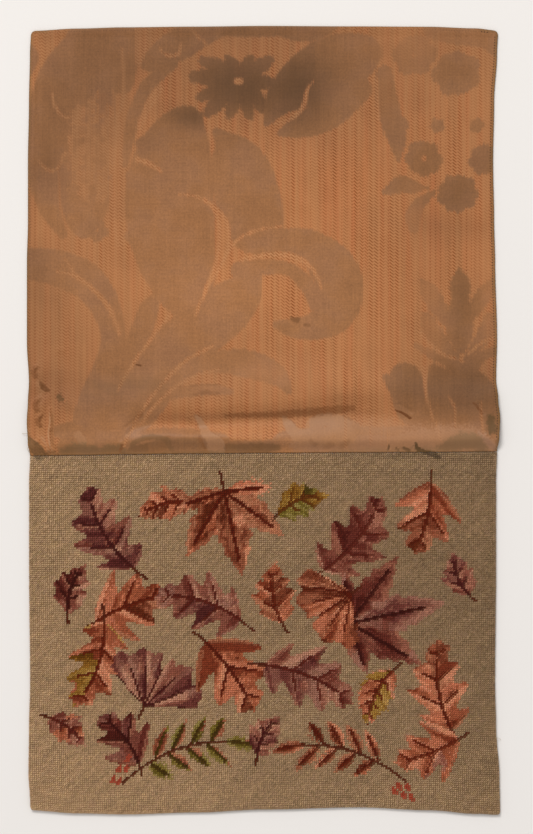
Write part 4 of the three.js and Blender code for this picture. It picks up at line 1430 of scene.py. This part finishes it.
def silk_surface(u, v):
    """The silk over shares of its width and length: its outline, and the roll, puffs and creases as height.

    It gives X, Y, the heights of the upper and lower surface, and the distance from the nearest turned edge.
    """
    above = v * SILK_LENGTH
    from_side, from_far = np.minimum(u, 1.0 - u) * width_at(SILK_LENGTH / 2), SILK_LENGTH - above
    round_x, round_y = corner_rounded(from_side, from_far, CORNER_ROUND)
    start = look_up(SHORT_EDGES, "across", "seam", u) + SEAM_GAP / 2
    far = SILK_LENGTH + look_up(SHORT_EDGES, "across", "far", u)
    x = x_at(u, above) + round_x * np.where(u < 0.5, 1.0, -1.0)
    y = start + (far - start) * v - round_y
    gather = 1.0 + 0.05 * np.sin(x / 3.1) * bell(above, 9.0) + 0.07 * soft_noise(x, above, 14.0, SEED + 6)
    lift = roll_height(u, above) * gather + puff_height(x, y) * ease(above / 3.5)
    base = np.where(lift < TOUCHING, 0.0, lift)
    fine = crease_height(x, y) * ease(above / 3.0) * ease(from_side / 2.0)
    fine = fine + 0.12 * soft_noise(x, y, 22.0, SEED + 7) * ease(from_side / 6.0) * ease(above / 20.0)
    from_edge = np.minimum(from_side, from_far)
    top = np.maximum(lift, 0.0) + np.maximum(thickness_at(SILK, from_edge) + fine, SILK["least"])
    return x, y, top, base, from_edge


def make_silk(colours):
    """The silk sheet as one closed skin, with its figure, tones and marks kept on its points."""
    v, u = np.meshgrid(*silk_steps(), indexing="ij")
    x, y, top, base, from_edge = silk_surface(u, v)
    upper = moved(np.stack([x, y, top], axis=-1))
    lower = moved(np.stack([x, y, base], axis=-1))[::2, ::2]
    points, faces = closed_cloth(upper, lower)
    satin, opening = satin_field(x, y)
    # The turned edges and the seam line are darkened: wear, and painted shade where the cloth rolls down to
    # them
    dark_edge_wide = 1.4 + 2.0 * (x > DARK_EDGE_FROM) + 1.4 * (x < -DARK_EDGE_FROM)
    at_seam = 0.6 * (1.0 - ease(v * SILK_LENGTH / 2.0))
    layers = {
        "satin": satin,
        "opening": ease((opening + 1.0) / 1.6) * (1.0 - ease((opening - 1.6) / 1.6)),
        # Uneven colour, with painted sheen, painted shade in the roll's trough and painted light by the seam
        "tone": spots(SILK_LIGHT_AND_TONES, x, y) + 0.03 * soft_noise(x, y, 40.0, SEED + 8),
        "edge_wear_and_shade": np.maximum(0.75 * (1.0 - ease(from_edge / dark_edge_wide)), at_seam),
    }
    # The deep layer is painted shade of the satin; faint and wear are real wear
    for name, table in (("deep", SATIN_SHADE), ("faint", FAINT), ("wear", WEAR)):
        layers[name] = np.clip(spots(table, x, y), 0.0, 0.8)
    for name, table in (("dark", DARKS), ("pale", PALES)):
        layers[name], layers[name + "_strength"], layers[name + "_tint"] = marks(table, x, y)
    layers = {name: both_sides(values) for name, values in layers.items()}
    silk = put_mesh("silk_sheet", points, faces, silk_finish(colours), layers)
    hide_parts("silk_panel")
    return silk


def stitch_walks(sizes):
    """The walks from the left edge and the seam edge to the middles of the columns and rows of stitches."""
    pitch = sizes.stitch_pitch / MM
    middles = []
    for walk in wool_walks():
        worked = walk - 2 * STITCH["margin"]
        count = round(worked / pitch)
        middles.append(STITCH["margin"] + (np.arange(count) + 0.5) * worked / count)
    return middles


def worked_yarn(sizes, colours):
    """The yarn of each stitch as rows of colours."""
    s, t = stitch_walks(sizes)
    row, column = (index.ravel() for index in np.indices((len(t), len(s))))
    middle = wool_skin(s[column], t[row], STITCH["bed"])
    yarn = leaf_colours(middle[:, 0], -middle[:, 1], column, row, np.array(colours.wool_ground))
    return yarn.reshape(len(t), len(s), 3)


def make_canvas(sizes, colours):
    """The canvas with its turned edges: a closed sheet a little under the stitches, in their yarn's colour
    darkened as painted shade between them.
    """
    s, t = stitch_walks(sizes)
    walks = []
    for walk, many in zip(wool_walks(), (len(s), len(t))):
        end = CANVAS_RIM[-1]
        plain = np.linspace(end, walk - end, many // 2 * 2 - 3)[1:-1]
        walks.append(np.concatenate([CANVAS_RIM, plain, walk - CANVAS_RIM[::-1]]))
    rows, across = np.meshgrid(walks[1], walks[0], indexing="ij")
    upper = moved(wool_skin(across, rows, STITCH["bed"]))[::-1]
    under = upper[::2, ::2].copy()
    under[..., 2] = 0.0
    points, faces = closed_cloth(upper, under)
    row = np.clip(np.searchsorted(t, rows), 0, len(t) - 1)
    column = np.clip(np.searchsorted(s, across), 0, len(s) - 1)
    # The yarn over the canvas against the ground yarn, times the canvas colour: painted shade between the
    # stitches
    shade = worked_yarn(sizes, colours)[row, column] / (YARN_GAIN * np.array(colours.wool_ground))
    layers = {"yarn": both_sides(shade[::-1]) * np.array(colours.canvas)}
    canvas = put_mesh("needlework_canvas", points, faces, canvas_finish(), layers)
    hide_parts("needlepoint_panel")
    return canvas


def make_wool(sizes, colours):
    """Every wool stitch: a slanting bead of yarn over one crossing of the canvas, in bands of rows."""
    s, t = stitch_walks(sizes)
    row, column = (index.ravel() for index in np.indices((len(t), len(s))))
    jitter = np.random.default_rng(SEED + 9).normal(0.0, 1.0, (6, len(row)))
    bands = np.array_split(np.arange(len(t)), STITCH_BANDS)
    s = s[column] + JITTER["place"] * jitter[0]
    t = t[row] + JITTER["place"] * jitter[1]
    bed = STITCH["bed"]
    small = 0.1
    middle = wool_skin(s, t, bed)
    right = unit(wool_skin(s + small, t, bed) - wool_skin(s - small, t, bed))
    down = unit(wool_skin(s, t + small, bed) - wool_skin(s, t - small, bed))
    over = unit(np.cross(right, -down))
    slant = np.radians(45.0 + JITTER["turn"] * jitter[2])[:, None]
    along = right * np.cos(slant) - down * np.sin(slant)
    along = unit(along - over * (along * over).sum(1)[:, None])
    half_sizes = [
        STITCH[name] * (1.0 + JITTER[name] * jitter[k])
        for k, name in enumerate(("half_long", "half_wide", "high"), 3)
    ]
    yarn = worked_yarn(sizes, colours).reshape(-1, 3)
    finish = wool_finish()
    pieces = []
    for number, band in enumerate(bands, 1):
        chosen = np.isin(row, band)
        own = (part[chosen] for part in (along, over, *half_sizes))
        points, faces = stitches(moved(middle[chosen]), *own)
        layers = {
            "yarn": np.repeat(yarn[chosen], len(STITCH_POINTS), axis=0),
            # 1 at a stitch's crest and 0 down its sides, for the painted shade in its finish
            "depth": np.tile(STITCH_POINTS[:, 2] > 0.5, chosen.sum()).astype(float),
        }
        name = f"wool_stitches_{number}"
        pieces.append(put_mesh(name, points, faces, finish, layers))
    return pieces


def edge_walk(start, end, pitch):
    """Even places along a length, a pitch apart."""
    return np.arange(start + pitch / 2, end, pitch)


def laid_stitches(name, middle, along, half_sizes, finish):
    """One piece of sewing stitches that face up."""
    over = np.tile(UP, (len(middle), 1))
    points, faces = stitches(moved(middle), unit(along), over, *half_sizes)
    return put_mesh(name, points, faces, finish)


def make_hem_stitches(sizes, colours):
    """Small running stitches that hold the silk's turned edges. They are larger on the right."""
    width = width_at(SILK_LENGTH / 2)
    pitch = sizes.hem_stitch_pitch / MM
    inset = HEM_STITCH["inset"]
    up = edge_walk(12.0, SILK_LENGTH - 6.0, pitch)
    sideways = edge_walk(8.0, width - 8.0, pitch)
    sides = [np.full(len(up), inset / width), np.full(len(up), 1 - inset / width)]
    across = np.concatenate([*sides, sideways / width])
    above = np.concatenate([up, up, np.full(len(sideways), SILK_LENGTH - inset)])
    x, y, top = silk_surface(across, above / SILK_LENGTH)[:3]
    upright = np.repeat([1.0, 0.0], (2 * len(up), len(sideways)))
    along = np.stack([1.0 - upright, upright, 0.0 * upright], axis=-1)
    share = np.where(x > DARK_EDGE_FROM, HEM_STITCH["right_share"], HEM_STITCH["share"])
    half_sizes = [HEM_STITCH[name] * share for name in ("half_long", "half_wide", "high")]
    middle = np.stack([x, y, top + HEM_STITCH["lift"]], axis=-1)
    finish = thread_finish("hem_thread", colours.hem_thread)
    return laid_stitches("silk_hem_stitches", middle, along, half_sizes, finish)


def make_seam_stitches(sizes, colours):
    """Short stitches over the gap between the two cloths, each leaning a little its own way."""
    width = width_at(SILK_LENGTH / 2)
    across = edge_walk(2.0, width - 2.0, sizes.seam_stitch_pitch / MM) / width
    seam = look_up(SHORT_EDGES, "across", "seam", across)
    one = np.ones(len(across))
    middle = np.stack([x_at(across, 0.0 * across), seam, SEAM_STITCH["above_floor"] * one], axis=-1)
    lean = np.random.default_rng(SEED + 10).uniform(-SEAM_STITCH["lean"], SEAM_STITCH["lean"], len(across))
    along = np.stack([lean, one, 0.0 * one], axis=-1)
    half_sizes = [SEAM_STITCH[name] for name in ("half_long", "half_wide", "high")]
    finish = thread_finish("sewing_thread", colours.thread)
    return laid_stitches("seam_stitches", middle, along, half_sizes, finish)


def make_loose_threads(colours):
    """The pale thread ends that stand out of the edges, each a thin tube on a short bent path."""
    finish = thread_finish("loose_thread", colours.loose)
    for side, path in LOOSE_ENDS.items():
        points, faces = tube(smooth_path(path, 4), LOOSE_RADIUS)
        put_mesh("loose_thread_" + side, moved(points), faces, finish)


# Operators


class NEEDLEWORK_OT_silk(bpy.types.Operator):
    """Make the silk damask panel with its roll and creases"""

    bl_idname = "needlework.silk"
    bl_label = "Silk Panel"

    def execute(self, context):
        silk = make_silk(context.scene.needlework_colours)
        return {"FINISHED"}


class NEEDLEWORK_OT_wool(bpy.types.Operator):
    """Make the canvas with its turned edges and work the leaves over it in wool"""

    bl_idname = "needlework.wool"
    bl_label = "Needlework Panel"

    def execute(self, context):
        sizes, colours = context.scene.needlework_sizes, context.scene.needlework_colours
        canvas = make_canvas(sizes, colours)
        pieces = make_wool(sizes, colours)
        return {"FINISHED"}


class NEEDLEWORK_OT_threads(bpy.types.Operator):
    """Make the hem stitches, the seam stitches and the loose thread ends"""

    bl_idname = "needlework.threads"
    bl_label = "Threads"

    def execute(self, context):
        sizes, colours = context.scene.needlework_sizes, context.scene.needlework_colours
        make_hem_stitches(sizes, colours)
        make_seam_stitches(sizes, colours)
        make_loose_threads(colours)
        return {"FINISHED"}


class NEEDLEWORK_OT_stage(bpy.types.Operator):
    """Make the floor, the light and the camera above the cloth"""

    bl_idname = "needlework.stage"
    bl_label = "Stage"

    def execute(self, context):
        scene = context.scene
        sizes, light = scene.needlework_sizes, scene.needlework_light
        corners = [(x * FLOOR_HALF, y * FLOOR_HALF, FLOOR_HIGH) for y in (-1, 1) for x in (-1, 1)]
        finish = floor_finish(scene.needlework_colours.floor)
        floor = put_mesh("floor", np.array(corners), grid_triangles(2, 2), finish, body=None)

        data = bpy.data.lights.new("window", "AREA")
        data.energy, data.shape = light.window, "RECTANGLE"
        data.size, data.size_y = WINDOW["wide"], WINDOW["high"]
        data.color = WINDOW["colour"]
        window = bpy.data.objects.new("window", data)
        window.location = WINDOW["place"]
        aim = -window.location.normalized()
        window.rotation_euler = aim.to_track_quat("-Z", "Y").to_euler()
        scene.collection.objects.link(window)

        world = bpy.data.worlds.new("room")
        world.use_nodes = True
        background = world.node_tree.nodes["Background"]
        background.inputs["Color"].default_value = ROOM_COLOUR
        background.inputs["Strength"].default_value = light.room
        scene.world = world

        # The picture's middle, from where the picture shows the middle line and the seam
        middle_x = (PHOTO_WIDE / 2 - PHOTO_MIDDLE) * sizes.pixel + SHIFT_X * MM
        middle_y = (PHOTO_SEAM - PHOTO_HIGH / 2) * sizes.pixel + SHIFT_Y * MM
        lens = bpy.data.cameras.new("camera")
        lens.sensor_fit = "AUTO"
        lens.sensor_width = 36.0
        lens.lens = lens.sensor_width * sizes.camera_height / (PHOTO_HIGH * sizes.pixel)
        lens.clip_end = 20.0
        camera = bpy.data.objects.new("camera", lens)
        camera.location = (middle_x, middle_y, sizes.camera_height)
        scene.collection.objects.link(camera)
        scene.camera = camera
        scene.view_settings.view_transform = "Standard"
        return {"FINISHED"}


class NEEDLEWORK_PT_panel(bpy.types.Panel):
    """The steps that make the cloth, with their sizes and colours"""

    bl_label = "Needlework"
    bl_idname = "NEEDLEWORK_PT_panel"
    bl_space_type = "VIEW_3D"
    bl_region_type = "UI"
    bl_category = "Needlework"

    def draw(self, context):
        for operator in (NEEDLEWORK_OT_silk, NEEDLEWORK_OT_wool, NEEDLEWORK_OT_threads, NEEDLEWORK_OT_stage):
            self.layout.operator(operator.bl_idname)
        scene = context.scene
        for group in (scene.needlework_sizes, scene.needlework_colours, scene.needlework_light):
            for name in group.bl_rna.properties.keys():
                if name not in ("rna_type", "name"):
                    self.layout.prop(group, name)


CLASSES = (
    NeedleworkSizes,
    NeedleworkColours,
    NeedleworkLight,
    NEEDLEWORK_OT_silk,
    NEEDLEWORK_OT_wool,
    NEEDLEWORK_OT_threads,
    NEEDLEWORK_OT_stage,
    NEEDLEWORK_PT_panel,
)


def register():
    """Adds the classes and hangs their properties on the scene."""
    for item in CLASSES:
        bpy.utils.register_class(item)
    bpy.types.Scene.needlework_sizes = bpy.props.PointerProperty(type=NeedleworkSizes)
    bpy.types.Scene.needlework_colours = bpy.props.PointerProperty(type=NeedleworkColours)
    bpy.types.Scene.needlework_light = bpy.props.PointerProperty(type=NeedleworkLight)


def unregister():
    """Takes the properties and the classes away again."""
    del bpy.types.Scene.needlework_light
    del bpy.types.Scene.needlework_colours
    del bpy.types.Scene.needlework_sizes
    for item in reversed(CLASSES):
        bpy.utils.unregister_class(item)


def main():
    """Makes every piece in order."""
    register()
    bpy.ops.needlework.stage()
    bpy.ops.needlework.silk()
    bpy.ops.needlework.wool()
    bpy.ops.needlework.threads()
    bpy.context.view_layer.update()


if __name__ == "__main__":
    main()
